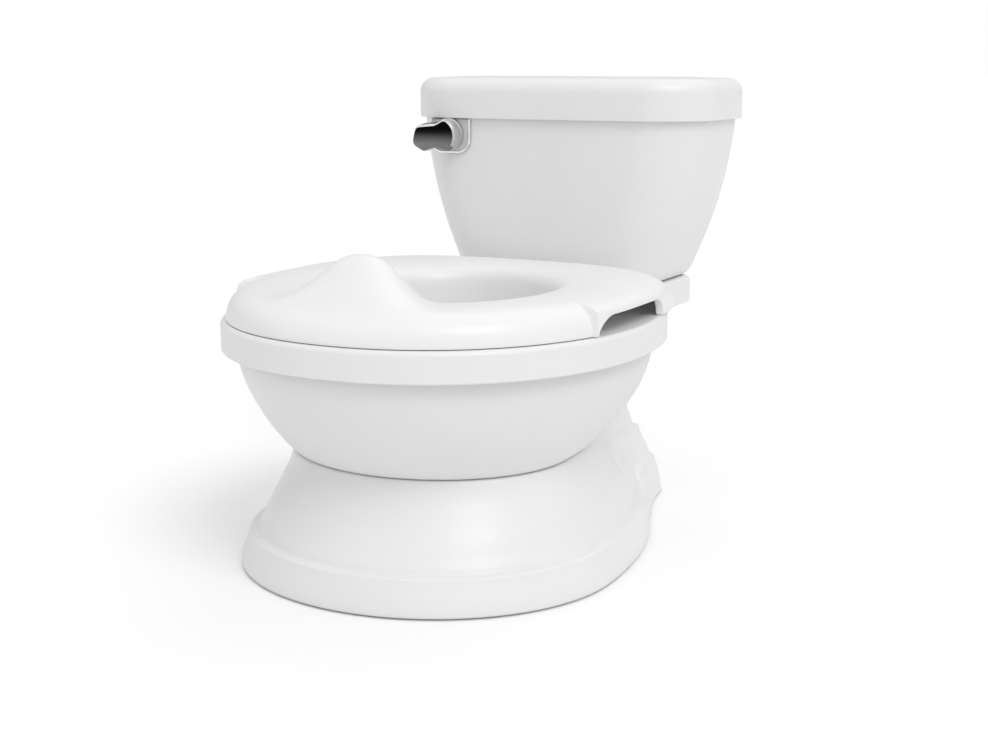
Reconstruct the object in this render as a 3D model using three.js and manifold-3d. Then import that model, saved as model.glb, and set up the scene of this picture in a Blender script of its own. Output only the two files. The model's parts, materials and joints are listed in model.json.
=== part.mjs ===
// A child's potty training chair shaped like a small toilet, as an assembly of moulded plastic parts.
// Millimetres, +Z up. The seat's front faces -Y, the tank stands at +Y, and the floor is at Z = 0.
import * as THREE from "three";
import { mergeVertices } from "three/addons/utils/BufferGeometryUtils.js";
import Module from "manifold-3d";

const wasm = await Module();
wasm.setup();

// ---------------------------------------------------------------- driving dimensions

const WALL = 3; // moulded wall thickness
const GAP = 0.4; // clearance between fitted pieces
const OVAL_POINTS = 40; // points round each large outline
const FLOOR_CLEARANCE = 1.5; // the pedestal's rim stands this far above the floor, on its feet

const SEAT_CENTRE_Y = -50; // where ring, seat and pot are widest
const RING_HALF_WIDTH = 145;
const RING_FRONT_Y = -208;
const RING_REAR_Y = 120;
const RING_BOTTOM = 150;
const RING_TOP = 170;
const RING_POWER = 2.1; // superellipse power of the ring's outline
const DECK_HALF_WIDTH = 88;
const DECK_REAR_Y = 197;

const SEAM_HEIGHT = 78; // the bowl shell stands on the pedestal here

const TANK_BOTTOM = RING_TOP + GAP;
const TANK_TOP = 299;
const TANK_FRONT_Y = 92;
const TANK_REAR_Y = 204;
const TANK_FRONT_RADIUS = 43;
const TANK_REAR_RADIUS = 17;
const TANK_BOW = 8; // how far the middle of the front wall stands out

const LID_BOTTOM = 293.2;
const LID_TOP = 324.5;
const LID_HALF_WIDTH = 123.5;
const LID_FRONT_Y = 88;
const LID_REAR_Y = 208;
const LID_WALL = 2.6;

const POT_HALF_WIDTH = 95;
const POT_FRONT_Y = -162.5;
const POT_REAR_Y = 59.5;
const POT_FLOOR = 86;

const LEVER_X = -77; // the flush lever's axis runs along Y through this X and Z
const LEVER_Z = 281;
const LEVER_FACE_Y = 78;
const BOSS_FACE_Y = 96.5; // flat pad on the tank's front that carries the escutcheon

// ---------------------------------------------------------------- materials

const material = (color, roughness, metalness) =>
  new THREE.MeshStandardMaterial({ color, roughness, metalness });
const plastic = (color, roughness = 0.35) => material(color, roughness, 0);
const metal = (color, roughness) => material(color, roughness, 1);

const WHITE = plastic(0xf2f2f2);
const SEAT_WHITE = plastic(0xfafafa);
const GREY_PLASTIC = plastic(0xc9c8c5);
const DARK_PLASTIC = plastic(0x2c2c2e, 0.5);
const RUBBER = plastic(0xd8d8d6, 0.8);
const BOARD_GREEN = plastic(0x1f5b38, 0.5);
const CHROME = metal(0xcfcfcf, 0.08);
const STEEL = metal(0xb8b8ba, 0.3);
const BATTERY_SKIN = metal(0x8f6a3a, 0.35);

// ---------------------------------------------------------------- geometry helpers

const EPSILON = 1e-6;

/** A manifold solid from a closed geometry. */
function toSolid(geometry) {
  const plain = geometry.clone();
  plain.deleteAttribute("normal");
  plain.deleteAttribute("uv");
  const merged = mergeVertices(plain, 1e-4);
  return new wasm.Manifold(
    new wasm.Mesh({
      numProp: 3,
      vertProperties: new Float32Array(merged.attributes.position.array),
      triVerts: new Uint32Array(merged.index.array),
    }),
  );
}

/** A named mesh from a manifold solid. */
function toMesh(name, solid, material) {
  const { vertProperties, triVerts, numProp } = solid.getMesh();
  const positions = [];
  for (let i = 0; i < vertProperties.length; i += numProp) {
    positions.push(vertProperties[i], vertProperties[i + 1], vertProperties[i + 2]);
  }
  const geometry = new THREE.BufferGeometry();
  geometry.setAttribute("position", new THREE.Float32BufferAttribute(positions, 3));
  geometry.setIndex([...triVerts]);
  geometry.computeVertexNormals();
  const mesh = new THREE.Mesh(geometry, material);
  mesh.name = name;
  return mesh;
}

const union = (...solids) => solids.reduce((whole, next) => whole.add(next));
const cut = (body, ...tools) => tools.reduce((left, tool) => left.subtract(tool), body);

/** Quads between rings of equal length; each ring is a list of Vector3. */
function skin(rings, closed) {
  const count = rings[0].length;
  const faces = [];
  const bands = closed ? rings.length : rings.length - 1;
  for (let band = 0; band < bands; band++) {
    const low = band * count;
    const high = ((band + 1) % rings.length) * count;
    for (let i = 0; i < count; i++) {
      const next = (i + 1) % count;
      faces.push(low + i, low + next, high + next, low + i, high + next, high + i);
    }
  }
  return faces;
}

function geometryFrom(points, faces) {
  const geometry = new THREE.BufferGeometry();
  const coordinates = points.flatMap((p) => p.toArray());
  geometry.setAttribute("position", new THREE.Float32BufferAttribute(coordinates, 3));
  geometry.setIndex(faces);
  return geometry;
}

/** A solid lofted through counter-clockwise rings from the lowest to the highest, with flat ends. */
function loft(rings) {
  const count = rings[0].length;
  const points = rings.flat();
  const faces = skin(rings, false);
  const middle = (ring) => ring.reduce((sum, p) => sum.add(p), new THREE.Vector3()).divideScalar(count);
  const lowCentre = points.length;
  points.push(middle(rings[0]), middle(rings.at(-1)));
  const topStart = (rings.length - 1) * count;
  for (let i = 0; i < count; i++) {
    const next = (i + 1) % count;
    faces.push(lowCentre, next, i, lowCentre + 1, topStart + i, topStart + next);
  }
  return toSolid(geometryFrom(points, faces));
}

/** A closed loop of closed sections, such as a seat round its hole. */
const sweepLoop = (sections) => toSolid(geometryFrom(sections.flat(), skin(sections, true)));

/** One quadrant-aware superellipse point: angle 0 is +X, and -Y is the front. */
function ovalPoint(angle, { halfWidth, front, rear, centre = SEAT_CENTRE_Y, power = 2, rearPower = power }) {
  const [c, s] = [Math.cos(angle), Math.sin(angle)];
  const exponent = 2 / (s < -EPSILON ? power : rearPower);
  const reach = s < 0 ? centre - front : rear - centre;
  const x = Math.sign(c) * halfWidth * Math.abs(c) ** exponent;
  const y = centre + Math.sign(s) * reach * Math.abs(s) ** exponent;
  return new THREE.Vector2(x, y);
}

function ovalRing(shape, z) {
  return Array.from({ length: OVAL_POINTS }, (_, i) => {
    const { x, y } = ovalPoint((2 * Math.PI * i) / OVAL_POINTS, shape);
    return new THREE.Vector3(x, y, z);
  });
}

/** The same oval pulled in all round by a distance. */
const insetOval = (shape, by) => ({
  ...shape,
  halfWidth: shape.halfWidth - by,
  front: shape.front + by,
  rear: shape.rear - by,
});

/** A rectangle with rounded corners and, if asked, a front edge that bows outwards. */
function boxRing({ xMin, xMax, front, rear, frontRadius, rearRadius, bow = 0 }, z) {
  const steps = 4;
  const ring = [];
  const arc = (cx, cy, radius, from) => {
    for (let i = 0; i <= steps; i++) {
      const angle = from + (Math.PI / 2) * (i / steps);
      ring.push(new THREE.Vector3(cx + radius * Math.cos(angle), cy + radius * Math.sin(angle), z));
    }
  };
  const cornerY = front + bow + frontRadius;
  arc(xMax - frontRadius, cornerY, frontRadius, -Math.PI / 2);
  arc(xMax - rearRadius, rear - rearRadius, rearRadius, 0);
  arc(xMin + rearRadius, rear - rearRadius, rearRadius, Math.PI / 2);
  arc(xMin + frontRadius, cornerY, frontRadius, Math.PI);
  const [left, right] = [xMin + frontRadius, xMax - frontRadius];
  const bowSteps = 4;
  for (let i = 1; i < bowSteps; i++) {
    const t = i / bowSteps;
    ring.push(new THREE.Vector3(left + (right - left) * t, front + bow * (2 * t - 1) ** 2, z));
  }
  return ring;
}

/** An axis-aligned box from its lowest to its highest corner. */
function box(low, high) {
  const size = high.map((value, axis) => value - low[axis]);
  const geometry = new THREE.BoxGeometry(...size);
  geometry.translate(...low.map((value, axis) => value + size[axis] / 2));
  return toSolid(geometry);
}

const AXIS_TURN = { x: [0, 0, -Math.PI / 2], y: [0, 0, 0], z: [Math.PI / 2, 0, 0] };

/** A cylinder along x, y or z, from its low end, given the two other coordinates of its axis. */
function rod(axis, from, to, centre, radius, endRadius = radius, segments = 16) {
  const geometry = new THREE.CylinderGeometry(endRadius, radius, to - from, segments);
  const [rx, ry, rz] = AXIS_TURN[axis];
  geometry.rotateX(rx).rotateY(ry).rotateZ(rz);
  const middle = (from + to) / 2;
  const place = { x: [middle, ...centre], y: [centre[0], middle, centre[1]], z: [...centre, middle] }[axis];
  geometry.translate(...place);
  return toSolid(geometry);
}

/** A flat outline in Y and Z, extruded along X. */
function plateAlongX(shape, xFrom, xTo) {
  const options = { depth: xTo - xFrom, bevelEnabled: false, curveSegments: 6 };
  const geometry = new THREE.ExtrudeGeometry(shape, options);
  geometry.rotateY(Math.PI / 2).rotateX(Math.PI / 2).translate(xFrom, 0, 0);
  return toSolid(geometry);
}

/** A round tube along a curve. */
function tube(curve, radius, steps, sides) {
  const shape = new THREE.Shape(
    Array.from({ length: sides }, (_, i) => {
      const angle = (2 * Math.PI * i) / sides;
      return new THREE.Vector2(radius * Math.cos(angle), radius * Math.sin(angle));
    }),
  );
  return toSolid(new THREE.ExtrudeGeometry(shape, { steps, extrudePath: curve, bevelEnabled: false }));
}

/** A coil spring round an axis, from one end to the other. */
function coil(axis, from, to, centre, coilRadius, wireRadius, turns) {
  class Helix extends THREE.Curve {
    getPoint(t) {
      const angle = 2 * Math.PI * turns * t;
      const along = from + wireRadius + (to - from - 2 * wireRadius) * t;
      const [u, v] = [centre[0] + coilRadius * Math.cos(angle), centre[1] + coilRadius * Math.sin(angle)];
      return axis === "z" ? new THREE.Vector3(u, v, along) : new THREE.Vector3(u, along, v);
    }
  }
  return tube(new Helix(), wireRadius, Math.round(turns * 7), 4);
}

/** A pan-head screw along an axis: the head starts at `head` and the shank ends at `tip`. */
function screw(axis, centre, head, tip, shankRadius, headRadius, headHeight) {
  const towards = Math.sign(tip - head);
  const shoulder = head + towards * headHeight;
  const span = (a, b) => [Math.min(a, b), Math.max(a, b)];
  const [headLow, headHigh] = span(head, shoulder);
  const [shankLow, shankHigh] = span(shoulder - towards * 0.5, tip);
  return union(
    rod(axis, headLow, headHigh, centre, headRadius, headRadius, 12),
    rod(axis, shankLow, shankHigh, centre, shankRadius, shankRadius, 8),
  );
}

const mirrored = (positions) => positions.flatMap(([x, y]) => [[x, y], [-x, y]]);

// ---------------------------------------------------------------- bowl shell

const BOWL_LEVELS = [
  { z: SEAM_HEIGHT, halfWidth: 95.5, front: -154, rear: 100, centre: -68 },
  { z: 80, halfWidth: 98.5, front: -157, rear: 102, centre: -67 },
  { z: 84, halfWidth: 103, front: -161.5, rear: 103, centre: -65 },
  { z: 90, halfWidth: 108.4, front: -168, rear: 104, centre: -62 },
  { z: 100, halfWidth: 116, front: -178, rear: 106, centre: -56 },
  { z: 110, halfWidth: 122.7, front: -185.5, rear: 108, centre: -52 },
  { z: 120, halfWidth: 128.3, front: -191.5, rear: 110, centre: SEAT_CENTRE_Y },
  { z: 130, halfWidth: 132.7, front: -196, rear: 111, centre: SEAT_CENTRE_Y },
  { z: 140, halfWidth: 135.6, front: -199, rear: 112, centre: SEAT_CENTRE_Y },
  { z: 149, halfWidth: 136.6, front: -200, rear: 112, centre: SEAT_CENTRE_Y },
  { z: 166.3, halfWidth: 136.8, front: -200.2, rear: 112.2, centre: SEAT_CENTRE_Y },
];
const BASE_SCREW_SPOTS = mirrored([[76, -98], [76, 0]]);

function bowlOuter(grow = 0) {
  return loft(
    BOWL_LEVELS.map((level, i) => {
      const z = i === 0 ? level.z - grow : level.z;
      return ovalRing(insetOval(level, -grow), z);
    }),
  );
}

function makeBowlShell() {
  const insideLevels = BOWL_LEVELS.filter((_, i) => i % 2 === 1);
  const inside = loft([
    ...insideLevels.map((level) => ovalRing(insetOval(level, WALL), level.z + 1)),
    ovalRing(insetOval(BOWL_LEVELS.at(-1), WALL), 170),
  ]);
  const bosses = BASE_SCREW_SPOTS.map((spot) => rod("z", SEAM_HEIGHT + 1, SEAM_HEIGHT + 12, spot, 5));
  const pilots = BASE_SCREW_SPOTS.map((spot) => rod("z", SEAM_HEIGHT - 1, SEAM_HEIGHT + 10.5, spot, 2.3));
  return cut(union(cut(bowlOuter(), inside), ...bosses), ...pilots);
}

// ---------------------------------------------------------------- pedestal

const FOOT_CENTRE_Y = -71.7;
const FOOT_LEVELS = [
  { z: FLOOR_CLEARANCE, halfWidth: 132.6, front: -196.2, rear: 154 },
  { z: 3, halfWidth: 133, front: -196.7, rear: 154.6 },
  { z: 23.6, halfWidth: 127, front: -190.4, rear: 142 },
  { z: 25.2, halfWidth: 123.6, front: -187, rear: 140 },
  { z: 27, halfWidth: 121, front: -184.5, rear: 139 },
  { z: 34, halfWidth: 117, front: -180.2, rear: 133 },
  { z: 42, halfWidth: 113.6, front: -175.2, rear: 121 },
  { z: 50, halfWidth: 109.6, front: -169.8, rear: 109 },
  { z: 60, halfWidth: 104.4, front: -163.8, rear: 101.5 },
  { z: 68, halfWidth: 100.6, front: -159.4, rear: 96 },
  { z: SEAM_HEIGHT - GAP, halfWidth: 97.2, front: -155.8, rear: 90 },
].map((level) => ({ ...level, centre: FOOT_CENTRE_Y }));

// The rear column: half widths at its rear face, which grow forwards by COLUMN_TAPER per millimetre.
const COLUMN_REAR_Y = 172;
const COLUMN_FRONT_Y = 40;
const COLUMN_TAPER = 0.12;
const COLUMN_LEVELS = [
  { z: FLOOR_CLEARANCE, halfWidth: 71 },
  { z: 17, halfWidth: 68 },
  { z: 28, halfWidth: 64 },
  { z: 51, halfWidth: 52.5 },
  { z: 72, halfWidth: 45 },
  { z: 92, halfWidth: 42.5 },
  { z: 120, halfWidth: 43.5 },
  { z: 145, halfWidth: 48 },
  { z: 166.3, halfWidth: 52 },
];

function columnRing({ z, halfWidth }, grow) {
  const ring = boxRing(
    {
      xMin: -halfWidth - grow,
      xMax: halfWidth + grow,
      front: COLUMN_FRONT_Y,
      rear: COLUMN_REAR_Y + Math.min(grow, 0),
      frontRadius: 12,
      rearRadius: 20,
    },
    z,
  );
  ring.forEach((p) => {
    p.x += Math.sign(p.x) * COLUMN_TAPER * (COLUMN_REAR_Y - p.y);
  });
  return ring;
}

/** A flat step of the trapway relief: the column grown sideways, kept inside a rounded side outline. */
function trapwayStep({ grow, frontY, top, reach, drop, fall }) {
  const outline = new THREE.Shape();
  outline.moveTo(frontY, 0);
  outline.lineTo(frontY, top - drop);
  outline.absellipse(frontY + reach, top - drop, reach, drop, Math.PI, Math.PI / 2, true);
  outline.lineTo(COLUMN_REAR_Y + 10, top - fall);
  outline.lineTo(COLUMN_REAR_Y + 10, 0);
  outline.closePath();
  const grown = loft(COLUMN_LEVELS.map((level) => columnRing(level, grow)));
  return grown.intersect(plateAlongX(outline, -RING_HALF_WIDTH, RING_HALF_WIDTH));
}

const FOOT_SPOTS = mirrored([[78, -152], [56, 148]]);

function makePedestal() {
  const foot = loft(FOOT_LEVELS.map((level) => ovalRing(level, level.z)));
  const column = loft(COLUMN_LEVELS.map((level) => columnRing(level, 0)));
  const steps = [
    trapwayStep({ grow: 3.7, frontY: 66, top: 52.8, reach: 52, drop: 25, fall: 2.5 }),
    trapwayStep({ grow: 6.3, frontY: 88, top: 30.8, reach: 35, drop: 19, fall: 3 }),
  ];
  const insideLevels = [...FOOT_LEVELS.slice(2, -1).filter((_, i) => i % 2 === 0), FOOT_LEVELS.at(-1)];
  const footInside = loft([
    ovalRing(insetOval(FOOT_LEVELS[1], WALL), -1),
    ...insideLevels.map((level) => ovalRing(insetOval(level, WALL), level.z - WALL)),
  ]);
  const columnInside = loft([
    columnRing({ ...COLUMN_LEVELS[0], z: -1 }, -WALL),
    ...COLUMN_LEVELS.slice(1).map((level) => columnRing({ ...level, z: level.z - WALL }, -WALL)),
  ]);
  const pads = FOOT_SPOTS.map((spot) => rod("z", FLOOR_CLEARANCE, 12, spot, 10));
  const webs = FOOT_SPOTS.map(([x, y]) => {
    const outwards = Math.sign(x) * (y < 0 ? 22.5 : 14);
    const [xLow, xHigh] = [Math.min(x, x + outwards), Math.max(x, x + outwards)];
    return box([xLow, y - 1.5, FLOOR_CLEARANCE + 1], [xHigh, y + 1.5, 12]);
  });
  const holes = BASE_SCREW_SPOTS.map((spot) => rod("z", 60, SEAM_HEIGHT + 5, spot, 2.6));
  const shell = cut(union(foot, column, ...steps), footInside, columnInside, bowlOuter(GAP));
  return cut(union(shell, ...pads, ...webs), ...holes);
}

// ---------------------------------------------------------------- rim ring and deck

const RING_SHAPE = { halfWidth: RING_HALF_WIDTH, front: RING_FRONT_Y, rear: RING_REAR_Y, power: RING_POWER };
const POT_OPENING = { halfWidth: POT_HALF_WIDTH + 1.6, front: POT_FRONT_Y - 1.6, rear: POT_REAR_Y + 1.6 };
const TANK_SCREW_SPOTS = mirrored([[66, 150]]);

function deckShape(inset) {
  const half = DECK_HALF_WIDTH - inset;
  return {
    xMin: -half,
    xMax: half,
    front: 20,
    rear: DECK_REAR_Y - inset,
    frontRadius: 6,
    rearRadius: 16 - inset,
  };
}

function makeRimRing() {
  const levels = [[RING_BOTTOM, 0.8], [151, 0], [166.6, 0], [169, 1.2], [RING_TOP, 3.4]];
  const plate = union(
    loft(levels.map(([z, inset]) => ovalRing(insetOval(RING_SHAPE, inset), z))),
    loft(levels.map(([z, inset]) => boxRing(deckShape(inset), z))),
  );
  const hollowTop = RING_TOP - WALL - 0.3;
  const hollow = union(
    loft([140, hollowTop].map((z) => ovalRing(insetOval(RING_SHAPE, WALL), z))),
    loft([140, hollowTop].map((z) => boxRing(deckShape(WALL), z))),
  );
  const collar = loft([RING_BOTTOM, RING_TOP].map((z) => ovalRing(insetOval(POT_OPENING, -WALL), z)));
  const opening = loft([140, 180].map((z) => ovalRing(POT_OPENING, z)));
  const screwHoles = TANK_SCREW_SPOTS.map((spot) => rod("z", 160, 175, spot, 2.5));
  return cut(union(cut(plate, hollow), collar), opening, ...screwHoles);
}

// ---------------------------------------------------------------- pot

function makePot() {
  const top = { halfWidth: POT_HALF_WIDTH, front: POT_FRONT_Y, rear: POT_REAR_Y };
  const levels = [[POT_FLOOR, 31], [POT_FLOOR + 2, 27], [98, 20], [120, 10], [150, 2], [171, 0]];
  const flange = loft([170.6, 173.2].map((z) => ovalRing(insetOval(top, -8.5), z)));
  const body = loft(levels.map(([z, inset]) => ovalRing(insetOval(top, inset), z)));
  const insideLevels = levels.slice(1).map(([z, inset]) => [z + 0.6, inset + 2.4]);
  const inside = loft([...insideLevels, [180, 2.4]].map(([z, inset]) => ovalRing(insetOval(top, inset), z)));
  return cut(union(body, flange), inside);
}

// ---------------------------------------------------------------- seat topper

const TOPPER_OUTLINE = { halfWidth: 142, front: -205, rear: 85.5, power: RING_POWER, rearPower: 3.4 };
const TOPPER_HOLE = { halfWidth: 66, front: -128, rear: 32, centre: -45 };
const TOPPER_SECTIONS = 48;
const TOPPER_SKIN = 2.8;
const GUARD_SPREAD = 0.31; // radians either side of the front over which the splash guard fades
const GUARD_STEEPNESS = 2.8;
const GRIP_OUTLINE = { ...TOPPER_OUTLINE, power: 4 }; // the grips stand a little proud of the rim
const GRIP_WALL = 4.5;
const GRIP_FRONT_Y = -106; // the grip's face steps out of the rim here
const GRIP_GAP = { front: -101, rear: -4, top: 182 }; // finger gap under the grip
const TOPPER_PAD_SPOTS = mirrored([[84, -153], [98, 48]]);
const TOPPER_BOSS_TOPS = [186, 186, 189, 189];

// Section points from the outer foot over the crest to the bottom of the funnel, as [share, z]:
// share 0 is the outline and share 1 the edge of the hole.
const RIM_SECTION = [
  [0, 170.5], [0.013, 176], [0.045, 182], [0.115, 187.2], [0.23, 190.2], [0.41, 190.8],
  [0.62, 190.1], [0.78, 188.6], [0.87, 186.6], [0.925, 183], [0.955, 177], [1, 157],
];
const GUARD_SECTION = [
  [0, 170.5], [0.024, 176], [0.085, 182], [0.21, 189], [0.364, 202], [0.519, 215.5],
  [0.64, 219.5], [0.73, 217.5], [0.8, 212], [0.87, 202], [0.93, 188], [1, 157],
];

// The rim's section over a grip: a straight side under a tighter shoulder.
const GRIP_SECTION = [
  [0, 170.5], [0.002, 178], [0.01, 183.4], [0.06, 187], [0.16, 189.6], [0.41, 190.8],
  [0.62, 190.1], [0.78, 188.6], [0.87, 186.6], [0.925, 183], [0.955, 177], [1, 157],
];

function topperSection(angle) {
  const outer = ovalPoint(angle, TOPPER_OUTLINE);
  const inner = ovalPoint(angle, TOPPER_HOLE);
  const onGrip = outer.y > GRIP_FRONT_Y && outer.y < 20;
  if (onGrip) outer.x = ovalPoint(angle, GRIP_OUTLINE).x;
  const rim = onGrip ? GRIP_SECTION : RIM_SECTION;
  const sideWall = onGrip ? GRIP_WALL : TOPPER_SKIN;
  const fromFront = Math.abs(Math.atan2(Math.cos(angle), -Math.sin(angle)));
  const guard = Math.exp(-((fromFront / GUARD_SPREAD) ** GUARD_STEEPNESS));
  const top = rim.map(([share, z], i) => [
    THREE.MathUtils.lerp(share, GUARD_SECTION[i][0], guard),
    THREE.MathUtils.lerp(z, GUARD_SECTION[i][1], guard),
  ]);
  const length = outer.distanceTo(inner);
  const profile = top.map(([share, z]) => new THREE.Vector2(share * length, z));
  const underside = profile.map((p, i) => {
    const before = profile[Math.max(i - 1, 0)];
    const after = profile[Math.min(i + 1, profile.length - 1)];
    const along = after.clone().sub(before).normalize();
    const thickness = i < 3 ? sideWall : TOPPER_SKIN;
    return new THREE.Vector2(p.x + along.y * thickness, p.y - along.x * thickness);
  });
  underside[0] = new THREE.Vector2(sideWall, profile[0].y);
  underside[profile.length - 1].y = profile.at(-1).y;
  underside[profile.length - 1].x = length - TOPPER_SKIN;
  const loop = [...profile, ...underside.reverse()];
  const direction = inner.clone().sub(outer).normalize();
  return loop.map((p) => new THREE.Vector3(outer.x + direction.x * p.x, outer.y + direction.y * p.x, p.y));
}

/** The side outline of the finger gap under a grip, open at the bottom. */
function gripGapShape() {
  const { front, rear, top } = GRIP_GAP;
  const shape = new THREE.Shape();
  shape.moveTo(front, 165);
  shape.lineTo(front, 170);
  shape.quadraticCurveTo(front + 5, top - 1, front + 20, top);
  shape.lineTo(rear - 4, top);
  shape.quadraticCurveTo(rear, top, rear, top - 5);
  shape.lineTo(rear, 165);
  shape.closePath();
  return shape;
}

function makeSeatTopper() {
  const sections = Array.from({ length: TOPPER_SECTIONS }, (_, i) =>
    topperSection((2 * Math.PI * i) / TOPPER_SECTIONS),
  );
  const ring = sweepLoop(sections.reverse());
  const gaps = [-1, 1].map((side) => {
    const [xLow, xHigh] = [side * 118, side * 160].sort((a, b) => a - b);
    return plateAlongX(gripGapShape(), xLow, xHigh);
  });
  const bosses = TOPPER_PAD_SPOTS.map((spot, i) => rod("z", 171.6, TOPPER_BOSS_TOPS[i], spot, 6));
  return cut(union(ring, ...bosses), ...gaps);
}

// ---------------------------------------------------------------- tank, lid and wipes tray

const TANK_LEVELS = [
  [TANK_BOTTOM, 79], [171.4, 81.5], [174, 84], [178, 86.6], [190, 92], [210, 100.2],
  [230, 107], [250, 112.3], [270, 116.3], [290, 119], [TANK_TOP, 119.6],
];
const DOOR = { xMin: -72, xMax: -24, low: 188, high: 262.4 }; // battery door opening in the rear wall

function tankShape(halfWidth, inset) {
  const half = halfWidth - inset;
  return {
    xMin: -half,
    xMax: half,
    front: TANK_FRONT_Y + inset,
    rear: TANK_REAR_Y - inset,
    frontRadius: TANK_FRONT_RADIUS - inset,
    rearRadius: TANK_REAR_RADIUS - inset,
    bow: TANK_BOW,
  };
}

/** The escutcheon's outline: flat under the lid, round below. */
function escutcheonShape(grow) {
  const shape = new THREE.Shape();
  const [half, radius] = [17.6 + grow, 11 + grow];
  const [top, bottom] = [LEVER_Z + 11.5, LEVER_Z - 14.5 - grow];
  shape.moveTo(LEVER_X - half, -top);
  shape.lineTo(LEVER_X + half, -top);
  shape.lineTo(LEVER_X + half, -(bottom + radius));
  shape.absarc(LEVER_X + half - radius, -(bottom + radius), radius, 0, Math.PI / 2, false);
  shape.absarc(LEVER_X - half + radius, -(bottom + radius), radius, Math.PI / 2, Math.PI, false);
  shape.closePath();
  return shape;
}

/** An escutcheon-shaped slab between two Y values. */
function escutcheonSlab(grow, yFrom, yTo) {
  const geometry = new THREE.ExtrudeGeometry(escutcheonShape(grow), {
    depth: yTo - yFrom,
    bevelEnabled: false,
    curveSegments: 8,
  });
  geometry.rotateX(-Math.PI / 2).translate(0, yFrom, 0);
  return toSolid(geometry);
}

function makeTankBody() {
  const outside = loft(TANK_LEVELS.map(([z, half]) => boxRing(tankShape(half, 0), z)));
  const floor = TANK_BOTTOM + WALL;
  const inside = loft([
    ...TANK_LEVELS.slice(2).map(([z, half]) => boxRing(tankShape(half, WALL), Math.max(z, floor))),
    boxRing(tankShape(TANK_LEVELS.at(-1)[1], WALL), TANK_TOP + 5),
  ]);
  const pad = escutcheonSlab(1.2, BOSS_FACE_Y, 100.5);
  const bosses = TANK_SCREW_SPOTS.map((spot) => rod("z", TANK_BOTTOM + 1, TANK_BOTTOM + 15, spot, 6));
  const pilots = TANK_SCREW_SPOTS.map((spot) => rod("z", TANK_BOTTOM - 1, TANK_BOTTOM + 13.5, spot, 2.3));
  const spindleHole = rod("y", 80, 110, [LEVER_X, LEVER_Z], 4.4);
  const doorway = box(
    [DOOR.xMin, TANK_REAR_Y - WALL - 1, DOOR.low],
    [DOOR.xMax, TANK_REAR_Y + 1, DOOR.high],
  );
  return cut(union(cut(outside, inside), pad, ...bosses), ...pilots, spindleHole, doorway);
}

function makeTankLid() {
  const shape = (inset) => ({
    xMin: inset - LID_HALF_WIDTH,
    xMax: LID_HALF_WIDTH - inset,
    front: LID_FRONT_Y + inset,
    rear: LID_REAR_Y - inset,
    frontRadius: 45 - inset,
    rearRadius: Math.max(18 - inset, 2),
    bow: TANK_BOW,
  });
  const crown = [[312, 0], [318, 1.2], [321.8, 4], [323.8, 7.5], [LID_TOP, 12]];
  const outsideLevels = [[LID_BOTTOM, 0.6], [294.2, 0], ...crown];
  const insideLevels = [[290, 0], [312, 0], [317, 1], [320, 4], [321.6, 10]];
  const outside = loft(outsideLevels.map(([z, inset]) => boxRing(shape(inset), z)));
  const inside = loft(insideLevels.map(([z, inset]) => boxRing(shape(inset + LID_WALL), z)));
  const lip = [WALL + 1.2, WALL + 3.2].map((inset) => tankShape(TANK_LEVELS.at(-1)[1], inset));
  const lipRing = cut(
    loft([290, 322].map((z) => boxRing(lip[0], z))),
    loft([280, 321.4].map((z) => boxRing(lip[1], z))),
  );
  return union(cut(outside, inside), lipRing);
}

function makeWipesTray() {
  const levels = [[187, 80, 108], [189, 82, 106], [240, 96, 106], [284, 105, 106]];
  const ring = ([z, xMax, front], inset) =>
    boxRing(
      {
        xMin: -8 + inset,
        xMax: xMax - inset,
        front: front + inset,
        rear: 196 - inset,
        frontRadius: 36,
        rearRadius: 12,
      },
      z,
    );
  const outside = loft(levels.map((level) => ring(level, 0)));
  const inside = loft([...levels.slice(1), [290, 105, 106]].map((level) => ring(level, 2)));
  return cut(outside, inside);
}

// ---------------------------------------------------------------- flush lever

const leverAxis = [LEVER_X, LEVER_Z];
const CAM_Y = 112;
const CAM_THICKNESS = 5;
const COLLAR_Y = 88.6;

/** The lever's front outline: a round hub with a short, waisted arm that points left. */
function leverShape() {
  const shape = new THREE.Shape();
  const at = (x, z) => [LEVER_X + x, -(LEVER_Z + z)];
  shape.moveTo(...at(-4, 7.5));
  shape.quadraticCurveTo(...at(-12, 7), ...at(-19, 6.5));
  shape.quadraticCurveTo(...at(-23.5, 5), ...at(-25, -2));
  shape.lineTo(...at(-24, -8.5));
  shape.lineTo(...at(-17, -12.5));
  shape.lineTo(...at(-8, -10.5));
  shape.quadraticCurveTo(...at(-5, -9), ...at(-1, -11));
  shape.bezierCurveTo(...at(7, -12), ...at(11, -6), ...at(10.5, 0));
  shape.bezierCurveTo(...at(10, 8), ...at(5, 11), ...at(1.5, 11.2));
  shape.quadraticCurveTo(...at(-1, 10.5), ...at(-4, 7.5));
  return shape;
}

function makeFlushLever() {
  const geometry = new THREE.ExtrudeGeometry(leverShape(), {
    depth: COLLAR_Y - GAP - LEVER_FACE_Y,
    bevelEnabled: false,
    curveSegments: 6,
  });
  geometry.rotateX(-Math.PI / 2).translate(0, LEVER_FACE_Y, 0);
  return cut(toSolid(geometry), rod("y", 83, 95, leverAxis, 4.2));
}

function makeLeverCollar() {
  const ring = rod("y", COLLAR_Y, BOSS_FACE_Y - 3, leverAxis, 9.6, 10.2, 28);
  return cut(ring, rod("y", 80, 100, leverAxis, 4.2));
}

function makeEscutcheon() {
  return cut(escutcheonSlab(0, BOSS_FACE_Y - 2.6, BOSS_FACE_Y - 0.3), rod("y", 80, 110, leverAxis, 4.4));
}

function makeSpindle() {
  const rear = CAM_Y + CAM_THICKNESS + 0.5;
  return cut(rod("y", 83.4, rear, leverAxis, 3.8), rod("y", 103, rear + 1, leverAxis, 1.6, 1.6, 12));
}

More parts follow.
